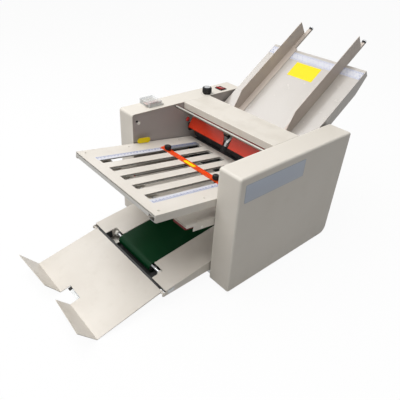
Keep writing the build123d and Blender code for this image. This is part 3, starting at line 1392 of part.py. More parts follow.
def machine():
    """All pieces under the names of their nodes, before the last move."""
    parts = {
        "side_frame_left": side_frame_left(),
        "side_frame_right": side_frame_right(),
        "base_plate": base_plate(),
        "cross_rods": cross_rods(),
        "left_cover": left_cover(),
        "right_cover": right_cover(),
        "rubber_feet": rubber_feet(),
        "top_cover": top_cover(),
        "roller_bushes": roller_bushes(),
        "feed_roller": feed_roller(),
        "feed_gear": gear(FEED, FEED_TEETH, FEED_PHASE),
        "separator_block": separator_block(),
        "separator_knob": separator_knob(),
        "finger_guard": finger_guard(),
        "drive_motor": drive_motor(),
        "motor_pulley": motor_pulley(),
        "driven_pulley": roller_pulley(),
        "conveyor_pulley": conveyor_pulley(),
        "timing_belt": timing_belt(),
        "upper_fold_plate": upper_fold_plate(),
        "upper_plate_underside": upper_plate_underside(),
        "lower_fold_plate": lower_fold_plate(),
        "rear_fold_plate_upper": rear_fold_plate(REAR_UPPER, REAR_UPPER_LENGTH),
        "rear_fold_plate_lower": rear_fold_plate(REAR_LOWER, REAR_LOWER_LENGTH),
        "upper_stop_bar": upper_stop_bar(),
        "lower_stop_bar": lower_stop_bar(),
        "rear_stop_bar_upper": rear_stop_bar(REAR_UPPER, REAR_UPPER_STOP_AT),
        "rear_stop_bar_lower": rear_stop_bar(REAR_LOWER, REAR_LOWER_STOP_AT),
        "stop_knob_left": upper_knob(-1),
        "stop_knob_right": upper_knob(1),
        "lower_stop_knob": lower_knob(),
        "delivery_bed": delivery_bed(),
        "conveyor_roller_front": conveyor_roller_front(),
        "conveyor_roller_rear": conveyor_roller_rear(),
        "conveyor_belt": conveyor_belt(),
        "receiving_tray": receiving_tray(),
        "feed_tray": feed_tray(),
        "paper_guide_left": left_guide(),
        "paper_guide_right": right_guide(),
        "guide_knob_left": left_guide_knob(),
        "guide_knob_right": right_guide_knob(),
        "counter_body": counter_body(),
        "counter_cover": counter_cover(),
        "reset_button": reset_button(),
        "speed_knob": speed_knob(),
        "rocker_switch": rocker_switch(),
        "switch_bezel": switch_bezel(),
        "power_inlet": power_inlet(),
    }
    for i in range(ROLLER_COUNT):
        parts[f"fold_roller_{i + 1}"] = fold_roller(i)
        parts[f"roller_gear_{i + 1}"] = gear(ROLLERS[i], ROLLER_TEETH, PHASES[i])
    return parts


def ground_shift(parts):
    """Move that puts the middle of the outer box's floor at the origin."""
    boxes = [piece.bounding_box() for piece in parts.values()]
    front = min(box.min.Y for box in boxes)
    rear = max(box.max.Y for box in boxes)
    low = min(box.min.Z for box in boxes)
    return (0, -(front + rear) / 2, -low)


PARTS = machine()
SHIFT = ground_shift(PARTS)

for node, piece in PARTS.items():
    export_step(Pos(*SHIFT) * piece, f"parts/{node}.step")
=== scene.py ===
import math

import bmesh
import bpy
from mathutils import Matrix, Vector


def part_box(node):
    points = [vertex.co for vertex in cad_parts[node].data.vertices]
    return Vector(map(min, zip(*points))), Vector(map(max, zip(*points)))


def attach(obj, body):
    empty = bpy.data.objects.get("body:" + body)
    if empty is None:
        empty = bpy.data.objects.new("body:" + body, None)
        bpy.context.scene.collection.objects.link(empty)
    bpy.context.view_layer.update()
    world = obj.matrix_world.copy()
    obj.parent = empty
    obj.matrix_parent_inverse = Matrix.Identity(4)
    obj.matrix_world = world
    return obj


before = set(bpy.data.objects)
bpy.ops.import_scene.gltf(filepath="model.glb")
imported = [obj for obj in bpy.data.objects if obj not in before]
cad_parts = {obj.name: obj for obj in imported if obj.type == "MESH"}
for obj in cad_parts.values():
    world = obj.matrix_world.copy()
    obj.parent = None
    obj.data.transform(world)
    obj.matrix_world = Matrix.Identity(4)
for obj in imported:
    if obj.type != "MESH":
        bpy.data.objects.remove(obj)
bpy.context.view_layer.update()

# Camera
# It stands in front, to the right and above, a little rolled, as when the photo was taken. Places
# are measured from the foot of the covers' front corners, on the machine's mid plane.
cover_low, cover_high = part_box("right_cover")
ORIGIN = Vector((0.0, cover_low.y, cover_low.z))
CAMERA_AT = Vector((0.73713, -0.57646, 0.79294))
AZIMUTH, ELEVATION, ROLL = (math.radians(angle) for angle in (47.036, 34.038, 3.78))
LENS_MM, SENSOR_MM = 37.444, 36

camera_data = bpy.data.cameras.new("camera")
camera_data.lens = LENS_MM
camera_data.sensor_width = SENSOR_MM
camera = bpy.data.objects.new("camera", camera_data)
bpy.context.scene.collection.objects.link(camera)
right = Vector((math.cos(AZIMUTH), math.sin(AZIMUTH), 0))
up = Vector((-math.sin(AZIMUTH) * math.sin(ELEVATION), math.cos(AZIMUTH) * math.sin(ELEVATION),
             math.cos(ELEVATION)))
across = right * math.cos(ROLL) + up * math.sin(ROLL)
rise = up * math.cos(ROLL) - right * math.sin(ROLL)
turn = Matrix((across, rise, across.cross(rise))).transposed()
camera.matrix_world = Matrix.Translation(ORIGIN + CAMERA_AT) @ turn.to_4x4()
bpy.context.scene.camera = camera
bpy.context.scene.view_settings.view_transform = "Standard"


# Studio
# A pale seamless floor under two soft boxes. Seen straight on, in metal or through glass, the floor
# and the world are plain white. A soft light falls on the machine from above and in front.
class Link:
    """A socket that takes part in sums."""

    def __init__(self, tree, socket):
        self.tree = tree
        self.socket = socket

    def maths(self, operation, *terms):
        return self.tree.link("ShaderNodeMath", {"operation": operation}, dict(enumerate(terms)))

    def __add__(self, other):
        return self.maths("ADD", self, other)

    def __sub__(self, other):
        return self.maths("SUBTRACT", self, other)

    def __rsub__(self, other):
        return self.maths("SUBTRACT", other, self)

    def __mul__(self, other):
        return self.maths("MULTIPLY", self, other)

    def __truediv__(self, other):
        return self.maths("DIVIDE", self, other)

    __radd__ = __add__
    __rmul__ = __mul__

    def __gt__(self, limit):
        return self.maths("GREATER_THAN", self, limit)

    def __lt__(self, limit):
        return self.maths("LESS_THAN", self, limit)

    def clamped(self):
        return self.maths("MINIMUM", self.maths("MAXIMUM", self, 0.0), 1.0)

    def most(self, other):
        return self.maths("MAXIMUM", self, other)

    def least(self, other):
        return self.maths("MINIMUM", self, other)

    def size(self):
        """The value without its sign."""
        return self.maths("ABSOLUTE", self)

    def rise(self, low, high):
        """0 below the low value, 1 above the high one."""
        return ((self - low) / (high - low)).clamped()

    def ridges(self, width):
        """Even ridges along a coordinate: 0 in a valley, 1 on the crest a width further on."""
        return self.maths("PINGPONG", self, width) / width


class Tree:
    """A node tree as it is put together."""

    def __init__(self, tree):
        self.tree = tree

    def plug(self, value, socket):
        if isinstance(value, Link):
            self.tree.links.new(value.socket, socket)
        else:
            socket.default_value = value

    def node(self, kind, settings, sockets):
        """Any node: its settings first, then the values or links of its sockets."""
        made = self.tree.nodes.new(kind)
        for name, value in settings.items():
            setattr(made, name, value)
        for key, value in sockets.items():
            self.plug(value, made.inputs[key])
        return made

    def link(self, kind, settings, sockets, output=0):
        return Link(self, self.node(kind, settings, sockets).outputs[output])

    def vector(self, *axes):
        return self.link("ShaderNodeCombineXYZ", {}, dict(enumerate(axes)))

    def seen(self):
        """1 for what is seen straight on, in gloss or through glass, 0 for light passed on."""
        paths = self.node("ShaderNodeLightPath", {}, {})
        rays = ("Is Camera Ray", "Is Glossy Ray", "Is Transmission Ray")
        return sum((Link(self, paths.outputs[name]) for name in rays), 0.0).clamped()


class Finish(Tree):
    """A material as it is mixed: its shader and the piece's own coordinates."""

    def __init__(self, name, **constants):
        self.material = bpy.data.materials.new(name)
        self.material.use_nodes = True
        super().__init__(self.material.node_tree)
        self.shader = self.tree.nodes["Principled BSDF"]
        self.set(**constants)
        self.place = self.link("ShaderNodeTexCoord", {}, {}, "Object")
        split = self.node("ShaderNodeSeparateXYZ", {}, {0: self.place})
        self.x, self.y, self.z = (Link(self, output) for output in split.outputs)

    def set(self, **values):
        for name, value in values.items():
            self.plug(value, self.shader.inputs[name.replace("_", " ")])

    def stretched(self, stretch):
        """Coordinates with so many times the features along each axis."""
        return self.link("ShaderNodeMapping", {}, {"Vector": self.place, "Scale": stretch})

    def cloud(self, scale, detail=3.0, place=None):
        """Cloudy value around a half, with so many features to the metre."""
        return self.link("ShaderNodeTexNoise", {}, {"Vector": place or self.place, "Scale": scale,
                                                    "Detail": detail})

    def specks(self, scale, share):
        """1 inside small dots that take up a share of their cells' width."""
        return self.link("ShaderNodeTexVoronoi", {"feature": "F1"},
                         {"Vector": self.place, "Scale": scale}) < share

    def between(self, share, first, second):
        """Colour between two colours."""
        mix = self.node("ShaderNodeMix", {"data_type": "RGBA"}, {0: share, 6: first, 7: second})
        return Link(self, mix.outputs[2])

    def bump(self, height, depth, strength):
        self.set(Normal=self.link("ShaderNodeBump", {}, {"Height": height, "Distance": depth,
                                                         "Strength": strength}))


def srgb(red, green, blue):
    """Shader colour from a colour as a screen shows it, 0 to 255."""
    def linear(channel):
        share = channel / 255
        return share / 12.92 if share <= 0.04045 else ((share + 0.055) / 1.055) ** 2.4
    return (linear(red), linear(green), linear(blue), 1.0)


WHITE = srgb(255, 255, 255)
FLOOR_WIDTH, FLOOR_DROP, FLOOR_GLOW, FLOOR_SHARE_LIT = 12, 0.0005, 1.07, 0.12
WORLD_FILL = 0.26

floor_paper = Finish("floor_paper", Base_Color=srgb(180, 180, 180), Roughness=0.9)
glow = floor_paper.link("ShaderNodeEmission", {}, {"Color": WHITE, "Strength": FLOOR_GLOW})
lit = Link(floor_paper, floor_paper.shader.outputs[0])
surface = floor_paper.link("ShaderNodeMixShader", {}, {
    0: floor_paper.seen() * (1 - FLOOR_SHARE_LIT), 1: lit, 2: glow})
floor_paper.plug(surface, floor_paper.tree.nodes["Material Output"].inputs[0])

bpy.ops.mesh.primitive_plane_add(size=FLOOR_WIDTH, location=(0, 0, -FLOOR_DROP))
floor = bpy.context.object
floor.name = "floor"
floor.data.materials.append(floor_paper.material)

world = bpy.data.worlds.new("studio")
bpy.context.scene.world = world
world.use_nodes = True
sky = Tree(world.node_tree)
background = sky.tree.nodes["Background"]
sky.plug(WHITE, background.inputs["Color"])
sky.plug(sky.seen() * (1 - WORLD_FILL) + WORLD_FILL, background.inputs["Strength"])


def soft_box(name, place, aim, size, power):
    """Square soft light that faces a place on the machine."""
    data = bpy.data.lights.new(name, "AREA")
    data.size = size
    data.energy = power
    lamp = bpy.data.objects.new(name, data)
    toward = (Vector(aim) - Vector(place)).to_track_quat("-Z", "Y")
    lamp.matrix_world = Matrix.Translation(place) @ toward.to_matrix().to_4x4()
    bpy.context.scene.collection.objects.link(lamp)


soft_box("overhead", (-0.3, -0.8, 2.3), (0.0, 0.0, 0.2), 2.4, 52.0)
soft_box("upper_left", (-1.5, -0.05, 2.1), (0.0, 0.1, 0.3), 0.9, 8.0)


# Steel frame
# Two thick steel side plates and a folded pan between them carry everything. The plates are sprayed
# satin grey, the pan is zinc plated. The left plate shows as the grey wall beside the fold plates.
MM = 0.001


def coat(finish, *names):
    """Gives nodes of the model their finish."""
    for name in names:
        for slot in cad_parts[name].material_slots:
            slot.material = finish.material


def enamel(name, colour, worn, grain=900.0, depth=0.00005, roughness=0.42):
    """Sprayed and baked enamel: finely pebbled, cloudy, with rubbed places and dust specks."""
    made = Finish(name, Specular_IOR_Level=0.4)
    clouds = made.cloud(7.0, 4.0)
    rubbed = made.cloud(38.0, 5.0).rise(0.56, 0.78)
    dust = made.specks(210.0, 0.07) * made.cloud(12.0).rise(0.5, 0.65)
    soft = made.between(clouds.rise(0.30, 0.72) * 0.35, colour, worn)
    made.set(Base_Color=made.between((rubbed * 0.16 + dust * 0.30).clamped(), soft, worn),
             Roughness=roughness - 0.06 + rubbed * 0.10 + clouds * 0.08)
    made.bump(made.cloud(grain, 2.0) + dust * 0.5, depth, 0.55)
    return made


grey_enamel = enamel("grey_enamel", srgb(176, 170, 167), srgb(156, 150, 147), grain=1100.0,
                     roughness=0.46)
zinc_plate = Finish("zinc_plate", Metallic=1.0)
spangles = zinc_plate.link("ShaderNodeTexVoronoi", {"feature": "SMOOTH_F1"},
                           {"Vector": zinc_plate.place, "Scale": 90.0})
rolled = zinc_plate.cloud(60.0, 4.0, zinc_plate.stretched((1.0, 22.0, 22.0)))
zinc_plate.set(Base_Color=zinc_plate.between((spangles * 0.7 + rolled * 0.4).clamped(),
                                             srgb(190, 191, 192), srgb(150, 152, 150)),
               Roughness=0.30 + rolled * 0.16)
zinc_plate.bump(rolled, 0.00002, 0.4)
coat(grey_enamel, "side_frame_left", "side_frame_right")
coat(zinc_plate, "base_plate")


# Side covers
# Tall shells folded from steel sheet and sprayed with a cream texture paint, each hooked over its
# side plate and held by screws from behind. The right one carries a thin pale name plate, left bare
# here. A plain yellow sticker is on the left side plate, in front of the folding rollers.
CREAM = srgb(227, 221, 211)
CREAM_WORN = srgb(203, 194, 178)
CREAM_EDGE_HIGHLIGHT = srgb(240, 235, 224)
FOOT_DUST, FOOT_DUST_HEIGHT = srgb(176, 164, 146), 0.06


def cream_enamel(name, low, high, edge=0.006):
    """Texture paint on a folded shell that fills a box: paler at its edges as a painted highlight,
    dusty at its foot.
    """
    made = Finish(name, Specular_IOR_Level=0.4)
    clouds = made.cloud(5.0, 4.0)
    rubbed = made.cloud(30.0, 5.0).rise(0.58, 0.80)
    pebbles = made.cloud(620.0, 3.0)
    near = [1.0 - (place - bottom).least(top - place).rise(0.0, edge)
            for place, bottom, top in zip((made.x, made.y, made.z), low, high)]
    edges = (near[0] * near[1]).most(near[1] * near[2]).most(near[0] * near[2])
    above_foot = made.z.rise(low[2], low[2] + FOOT_DUST_HEIGHT)
    dust = (1.0 - above_foot) * made.cloud(22.0, 4.0).rise(0.42, 0.70)
    soft = made.between(clouds.rise(0.32, 0.70) * 0.22 + rubbed * 0.12, CREAM, CREAM_WORN)
    dirty = made.between(dust * 0.30, soft, FOOT_DUST)
    # Painted highlight: the paint is paler along the shell's rounded edges, where they catch the
    # light.
    pale = edges * (0.35 + made.cloud(160.0, 3.0) * 0.5)
    made.set(Base_Color=made.between(pale, dirty, CREAM_EDGE_HIGHLIGHT),
             Roughness=0.44 + pebbles * 0.10 - edges * 0.08)
    made.bump(pebbles + made.cloud(2100.0, 1.0) * 0.35, 0.00016, 0.5)
    return made


for cover in ("left_cover", "right_cover"):
    coat(cream_enamel(cover + "_paint", *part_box(cover)), cover)


def rounded(u0, u1, v0, v1, radius, steps=5):
    """Outline of a rectangle with round corners."""
    corners = ((u1, v1, -radius, -radius, 0), (u0, v1, radius, -radius, 90),
               (u0, v0, radius, radius, 180), (u1, v0, -radius, radius, 270))
    points = []
    for u, v, inward_u, inward_v, start in corners:
        for count in range(steps + 1):
            turn = math.radians(start + 90 * count / steps)
            points.append((u + inward_u + radius * math.cos(turn),
                           v + inward_v + radius * math.sin(turn)))
    return points


WELD, SHARP_ANGLE = 1e-6, math.radians(35)


def keep(name, mesh, place, finish, body):
    """Turns a mesh drawn in millimetres into a finished piece at its place."""
    bmesh.ops.transform(mesh, matrix=place @ Matrix.Scale(MM, 4), verts=mesh.verts)
    bmesh.ops.remove_doubles(mesh, verts=mesh.verts, dist=WELD)
    bmesh.ops.recalc_face_normals(mesh, faces=mesh.faces)
    data = bpy.data.meshes.new(name)
    mesh.to_mesh(data)
    mesh.free()
    data.set_sharp_from_angle(angle=SHARP_ANGLE)
    return take(name, data, finish, body)


def take(name, data, finish, body):
    """Puts a mesh in the scene as a piece that moves with a body."""
    piece = bpy.data.objects.new(name, data)
    bpy.context.scene.collection.objects.link(piece)
    data.materials.clear()
    data.materials.append(finish.material)
    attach(piece, body)
    return piece


def slab(outline, thickness, lift=0.0, edge=0.0):
    """Flat piece cut to an outline, with a small chamfer round its top."""
    mesh = bmesh.new()
    low_ring = [mesh.verts.new((u, v, lift)) for u, v in outline]
    high_ring = [mesh.verts.new((u, v, lift + thickness)) for u, v in outline]
    mesh.faces.new(reversed(low_ring))
    top = mesh.faces.new(high_ring)
    for at in range(len(outline)):
        after = (at + 1) % len(outline)
        mesh.faces.new((low_ring[at], low_ring[after], high_ring[after], high_ring[at]))
    if edge:
        bmesh.ops.bevel(mesh, geom=list(top.edges), offset=edge, segments=2, profile=0.5,
                        affect="EDGES")
    return mesh


def facing(point, normal, across=(1, 0, 0)):
    """Place on a face: u runs across it, w along its normal. The point is in millimetres."""
    w = Vector(normal).normalized()
    u = (Vector(across) - w * Vector(across).dot(w)).normalized()
    turned = Matrix((u, w.cross(u), w)).transposed().to_4x4()
    return Matrix.Translation(ORIGIN + Vector(point) * MM) @ turned


def facing_right(x, y=0.0, z=0.0):
    """Place on a face that looks to the right: u runs to the back and v up."""
    return facing((x, y, z), (1, 0, 0), (0, 1, 0))


COVER_FACE = (cover_high.x - ORIGIN.x) / MM
LABEL_Y, LABEL_Z = (18.0, 230.0), (271.5, 320.0)
LABEL_THICKNESS, LABEL_CORNER, LABEL_RIM = 0.5, 3.0, 1.6

foil = Finish("label_foil")
brushed = foil.cloud(55.0, 4.0, foil.stretched((30.0, 1.0, 30.0)))
tone = foil.between(brushed * 0.30, srgb(186, 194, 207), srgb(168, 177, 192))
rim_y, rim_z = ((place - (start + (a + b) / 2 * MM)).size() > ((b - a) / 2 - LABEL_RIM) * MM
                for place, start, (a, b) in ((foil.y, ORIGIN.y, LABEL_Y),
                                             (foil.z, ORIGIN.z, LABEL_Z)))
foil.set(Base_Color=foil.between(rim_y.most(rim_z) * 0.5, tone, srgb(152, 158, 170)),
         Roughness=0.26 + brushed * 0.12)
foil.bump(brushed, 0.00001, 0.3)
keep("name_plate", slab(rounded(*LABEL_Y, *LABEL_Z, LABEL_CORNER), LABEL_THICKNESS, edge=0.15),
     facing_right(COVER_FACE), foil, "root")


def oval(length, height, turn, segments=36):
    """Outline of a long round-ended sticker, stuck on a little askew."""
    straight = (length - height) / 2
    points = []
    for count in range(segments):
        at = math.tau * (count + 0.5) / segments
        u = math.copysign(straight, math.cos(at)) + height / 2 * math.cos(at)
        v = height / 2 * math.sin(at)
        points.append((u * math.cos(turn) - v * math.sin(turn),
                       u * math.sin(turn) + v * math.cos(turn)))
    return points


def sticker_film(name, colour, faded):
    """Printed plastic film with a soft sheen, a little dirty and faded."""
    made = Finish(name, Specular_IOR_Level=0.25)
    fade = made.cloud(60.0, 4.0)
    grime = made.cloud(240.0, 4.0).rise(0.60, 0.80)
    made.set(Base_Color=made.between((fade * 0.35 + grime * 0.35).clamped(), colour, faded),
             Roughness=0.34 + fade * 0.14)
    made.bump(fade, 0.00004, 0.3)
    return made


STICKER_THICKNESS = 0.2
yellow_film = sticker_film("yellow_film", srgb(252, 228, 0), srgb(240, 208, 8))
WALL = (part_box("side_frame_left")[1].x - ORIGIN.x) / MM
keep("wall_sticker", slab(oval(44.0, 16.0, math.radians(-8.3)), STICKER_THICKNESS, edge=0.08),
     facing_right(WALL, 29.5, 261.0), yellow_film, "root")


# Feet and cross rods
# Moulded rubber feet on the pan's corners, and drawn steel rods that tie the side plates together.
# The front rod shines between the covers, above the fold plates.
def moulded(name, colour, dusty, grain=1300.0, depth=0.00006, roughness=0.55):
    """Moulded rubber or plastic: a fine even grain, grey dust where nobody wipes."""
    made = Finish(name, Specular_IOR_Level=0.35)
    skin = made.cloud(grain, 1.0)
    dust = made.cloud(34.0, 5.0).rise(0.48, 0.80)
    made.set(Base_Color=made.between(dust * 0.35 + skin * 0.12, colour, dusty),
             Roughness=roughness + skin * 0.10 + dust * 0.12)
    made.bump(skin, depth, 0.5)
    return made


def turned(name, colour, dull, roughness=0.16, along=(60.0, 1.0, 1.0)):
    """Ground or drawn bar: bright, with hair lines left by the tool and a few dull spots."""
    made = Finish(name, Metallic=1.0)
    hair = made.cloud(14.0, 5.0, made.stretched(along))
    spots = made.cloud(70.0, 4.0).rise(0.58, 0.80)
    made.set(Base_Color=made.between(spots * 0.4 + hair * 0.25, colour, dull),
             Roughness=roughness + hair * 0.14 + spots * 0.14)
    made.bump(hair, 0.000008, 0.35)
    return made


foot_rubber = moulded("foot_rubber", srgb(44, 43, 42), srgb(96, 92, 86), roughness=0.70)
ground_steel = turned("ground_steel", srgb(214, 215, 217), srgb(158, 158, 156))
drawn_steel = turned("drawn_steel", srgb(156, 153, 147), srgb(126, 122, 116), roughness=0.34)
coat(foot_rubber, "rubber_feet")
coat(drawn_steel, "cross_rods")


# Fold rollers, gears and drive
# Rubber-covered rollers on steel shafts that turn in sintered bronze bushes, geared together at
# their right-hand ends. A black motor drives them through two loops of one toothed belt.
ROLLERS = range(1, 7)
RUBBER_HALF_LENGTH = 0.1685

rubber = Finish("roller_rubber", Specular_IOR_Level=0.35)
rings = rubber.cloud(300.0, 3.0, rubber.stretched((4.0, 0.1, 0.1)))
paper_dust = rubber.cloud(46.0, 5.0).rise(0.50, 0.80)
shaft = (rubber.x - ORIGIN.x).size() > RUBBER_HALF_LENGTH
skin = rubber.between(rings * 0.4 + paper_dust * 0.35, srgb(50, 50, 53), srgb(92, 90, 88))
rubber.set(Base_Color=rubber.between(shaft, skin, srgb(196, 197, 200)),
           Metallic=shaft, Roughness=0.62 + rings * 0.12 - shaft * 0.36)
rubber.bump(rings, 0.00003, 0.5)
coat(rubber, *("fold_roller_%d" % number for number in ROLLERS), "feed_roller")

gear_nylon = Finish("gear_nylon", Specular_IOR_Level=0.45)
flow = gear_nylon.cloud(60.0, 4.0)
grease = gear_nylon.cloud(120.0, 5.0).rise(0.55, 0.75)
clean = gear_nylon.between(flow * 0.5, srgb(231, 227, 214), srgb(214, 207, 188))
gear_nylon.set(Base_Color=gear_nylon.between(grease * 0.55, clean, srgb(138, 124, 92)),
               Roughness=0.50 - grease * 0.22 + flow * 0.06)
gear_nylon.bump(gear_nylon.cloud(900.0, 2.0), 0.00003, 0.4)
coat(gear_nylon, *("roller_gear_%d" % number for number in ROLLERS), "feed_gear")

bronze = Finish("sintered_bronze", Metallic=1.0)
pores = bronze.specks(1500.0, 0.28)
oil = bronze.cloud(90.0, 4.0)
bronze.set(Base_Color=bronze.between(pores * 0.6 + oil * 0.3, srgb(196, 160, 104),
                                     srgb(112, 84, 48)),
           Roughness=0.34 + pores * 0.30 - oil * 0.08)
bronze.bump(1.0 - pores, 0.00003, 0.5)
coat(bronze, "roller_bushes")

FIN_WIDTH, FRONT_CAP, REAR_CAP, CAP_EDGE = 0.002, 0.014, 0.030, 0.001
motor_low, motor_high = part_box("drive_motor")
motor = Finish("motor_enamel")
barrel = ((motor.x - motor_low.x).rise(FRONT_CAP, FRONT_CAP + CAP_EDGE)
          * (motor_high.x - motor.x).rise(REAR_CAP, REAR_CAP + CAP_EDGE))
scuffs = motor.cloud(44.0, 5.0).rise(0.60, 0.78)
motor.set(Base_Color=motor.between(scuffs * 0.5, srgb(40, 42, 45), srgb(104, 106, 108)),
          Roughness=0.40 + scuffs * 0.20)
motor.bump(motor.x.ridges(FIN_WIDTH) * barrel + motor.cloud(800.0, 2.0) * 0.05, 0.0012, 0.7)
coat(motor, "drive_motor")

pulley_metal = turned("pulley_metal", srgb(202, 203, 205), srgb(150, 150, 150), roughness=0.28,
                      along=(50.0, 1.0, 1.0))
coat(pulley_metal, "motor_pulley", "driven_pulley", "conveyor_pulley")

toothed_belt = Finish("toothed_belt", Specular_IOR_Level=0.3)
fabric = toothed_belt.cloud(1500.0, 2.0, toothed_belt.stretched((1.0, 0.3, 0.3)))
chalk = toothed_belt.cloud(30.0, 5.0).rise(0.52, 0.80)
toothed_belt.set(Base_Color=toothed_belt.between(chalk * 0.4 + fabric * 0.2, srgb(36, 36, 37),
                                                 srgb(86, 84, 82)),
                 Roughness=0.60 + fabric * 0.15)
toothed_belt.bump(fabric, 0.00008, 0.6)
coat(toothed_belt, "timing_belt")


# Fold plates
# Slatted plates of thin sheet, sprayed smooth cream. A plain grey sheet closes the upper one from
# below, and its front lip turns back under the slots, where it is riveted. White ruler strips are
# stuck along both edges of the upper plate, and round-headed screws hold the sheets together.
sheet_enamel = enamel("sheet_enamel", srgb(229, 223, 214), srgb(196, 187, 172), grain=700.0,
                      depth=0.00004, roughness=0.38)
underside_enamel = enamel("underside_enamel", srgb(206, 204, 199), srgb(172, 168, 160),
                          depth=0.00003, roughness=0.34)
coat(sheet_enamel, "upper_fold_plate", "lower_fold_plate", "rear_fold_plate_upper",
     "rear_fold_plate_lower")
coat(underside_enamel, "upper_plate_underside")


def spun(degrees, axis):
    """Turn about an axis."""
    return Matrix.Rotation(math.radians(degrees), 4, axis)


class Slope:
    """A sloping sheet: u across, v up the slope from its edge, w above it, in millimetres."""

    def __init__(self, y, z, angle):
        self.place = Matrix.Translation(ORIGIN + Vector((0, y, z)) * MM) @ spun(angle, "X")

    def __call__(self, u=0.0, v=0.0, w=0.0, spin=0.0):
        return self.place @ Matrix.Translation(Vector((u, v, w)) * MM) @ spun(spin, "Z")


UPPER_PLATE = Slope(-173.0, 281.6, -8.7)
LOWER_PLATE = Slope(-84.371, 211.194, -8.7)


def repeat_tree(name, **inputs):
    """Empty geometry tree with named inputs, each with its usual value."""
    group = bpy.data.node_groups.new(name, "GeometryNodeTree")
    kinds = {float: "Float", int: "Int", bpy.types.Object: "Object"}

    def add(label, direction, kind):
        return group.interface.new_socket(label, in_out=direction, socket_type="NodeSocket" + kind)

    add("Geometry", "INPUT", "Geometry")
    tree = Tree(group)
    tree.identifiers = {label: add(label.replace("_", " "), "INPUT", kinds[type(value)]).identifier
                        for label, value in inputs.items()}
    tree.identifiers["Finish"] = add("Finish", "INPUT", "Material").identifier
    add("Geometry", "OUTPUT", "Geometry")
    entry = tree.node("NodeGroupInput", {}, {})
    tree.given = {socket.name: Link(tree, socket) for socket in entry.outputs if socket.name}
    tree.inputs = inputs
    return tree


def close_tree(tree, instances):
    """Ends a geometry tree: its instances are made real and get the finish."""
    real = tree.link("GeometryNodeRealizeInstances", {}, {0: instances})
    painted = tree.link("GeometryNodeSetMaterial", {},
                        {"Geometry": real, "Material": tree.given["Finish"]})
    tree.node("NodeGroupOutput", {}, {0: painted})


def grown(name, carrier_mesh, tree, place, finish, body, slot, **changes):
    """Runs a geometry tree on a carrier drawn in millimetres and keeps the plain mesh it makes."""
    carrier = bpy.data.objects.new(name + "_carrier", carrier_mesh)
    bpy.context.scene.collection.objects.link(carrier)
    modifier = carrier.modifiers.new("grow", "NODES")
    modifier.node_group = tree.tree
    for label, value in {**tree.inputs, **changes, "Finish": finish.material}.items():
        modifier[tree.identifiers[label]] = value
    evaluated = carrier.evaluated_get(bpy.context.evaluated_depsgraph_get())
    data = bpy.data.meshes.new_from_object(evaluated)
    data.name = name
    carrier.modifiers.remove(modifier)
    bpy.data.objects.remove(carrier)
    data.transform(place @ Matrix.Scale(MM, 4))
    if place.determinant() < 0:
        data.flip_normals()
    data.set_sharp_from_angle(angle=SHARP_ANGLE)
    return take(name, data, finish, body)


def lathe(profile, segments=24):
    """Solid of revolution from radii and heights in millimetres, from its foot to its crown."""
    mesh = bmesh.new()
    rings = []
    for radius, height in profile:
        if radius == 0:
            rings.append([mesh.verts.new((0, 0, height))])
        else:
            rings.append([mesh.verts.new((radius * math.cos(math.tau * k / segments),
                                          radius * math.sin(math.tau * k / segments), height))
                          for k in range(segments)])
    for lower, upper in zip(rings, rings[1:]):
        for k in range(segments):
            after = (k + 1) % segments
            if len(lower) == 1:
                mesh.faces.new((lower[0], upper[after], upper[k]))
            elif len(upper) == 1:
                mesh.faces.new((lower[k], lower[after], upper[0]))
            else:
                mesh.faces.new((lower[k], lower[after], upper[after], upper[k]))
    return mesh


def cross_head(height, segments=20):
    """Round screw head of radius 1 with a cross recess, standing on its underside."""
    arm, slot, recess_foot, narrowing = 0.62, 0.17, 0.45 * height, 0.8
    mesh = lathe([(1, 0), (1, 0.35 * height), (0.93, 0.72 * height), (0.74, height)], segments)
    rim = [vertex for vertex in mesh.verts if abs(vertex.co.z - height) < WELD]
    ring = [edge for edge in mesh.edges if all(vertex in rim for vertex in edge.verts)]
    outline = ((arm, slot), (slot, slot), (slot, arm), (-slot, arm), (-slot, slot), (-arm, slot),
               (-arm, -slot), (-slot, -slot), (-slot, -arm), (slot, -arm), (slot, -slot),
               (arm, -slot))
    top = [mesh.verts.new((u, v, height)) for u, v in outline]
    foot = [mesh.verts.new((u * narrowing, v * narrowing, recess_foot)) for u, v in outline]
    sides = [(at, (at + 1) % len(outline)) for at in range(len(outline))]
    cross = [mesh.edges.new((top[at], top[after])) for at, after in sides]
    bmesh.ops.triangle_fill(mesh, edges=ring + cross, use_beauty=True)
    for face in [face for face in mesh.faces if all(vertex in top for vertex in face.verts)]:
        mesh.faces.remove(face)
    for at, after in sides:
        mesh.faces.new((top[at], top[after], foot[after], foot[at]))
    mesh.faces.new(foot)
    mesh.faces.new(reversed(mesh.verts[:segments]))
    bmesh.ops.recalc_face_normals(mesh, faces=mesh.faces)
    return mesh


def pattern_object(name, mesh):
    """Object that a geometry tree repeats. It goes once the last row is in place."""
    data = bpy.data.meshes.new(name)
    mesh.to_mesh(data)
    mesh.free()
    return bpy.data.objects.new(name, data)


HEAD_ATTRIBUTES = (("turn", "FLOAT_VECTOR"), ("size", "FLOAT"))
screw_head = pattern_object("screw_head", cross_head(0.62))
row_tree = repeat_tree("heads_on_points", Head=screw_head)
head_shape = row_tree.link("GeometryNodeObjectInfo", {"transform_space": "ORIGINAL"},
                           {"Object": row_tree.given["Head"]}, "Geometry")
head_turn, head_size = (row_tree.link("GeometryNodeInputNamedAttribute", {"data_type": kind},
                                      {"Name": label}, "Attribute")
                        for label, kind in HEAD_ATTRIBUTES)
close_tree(row_tree, row_tree.link("GeometryNodeInstanceOnPoints", {}, {
    "Points": row_tree.given["Geometry"], "Instance": head_shape, "Rotation": head_turn,
    "Scale": head_size}))


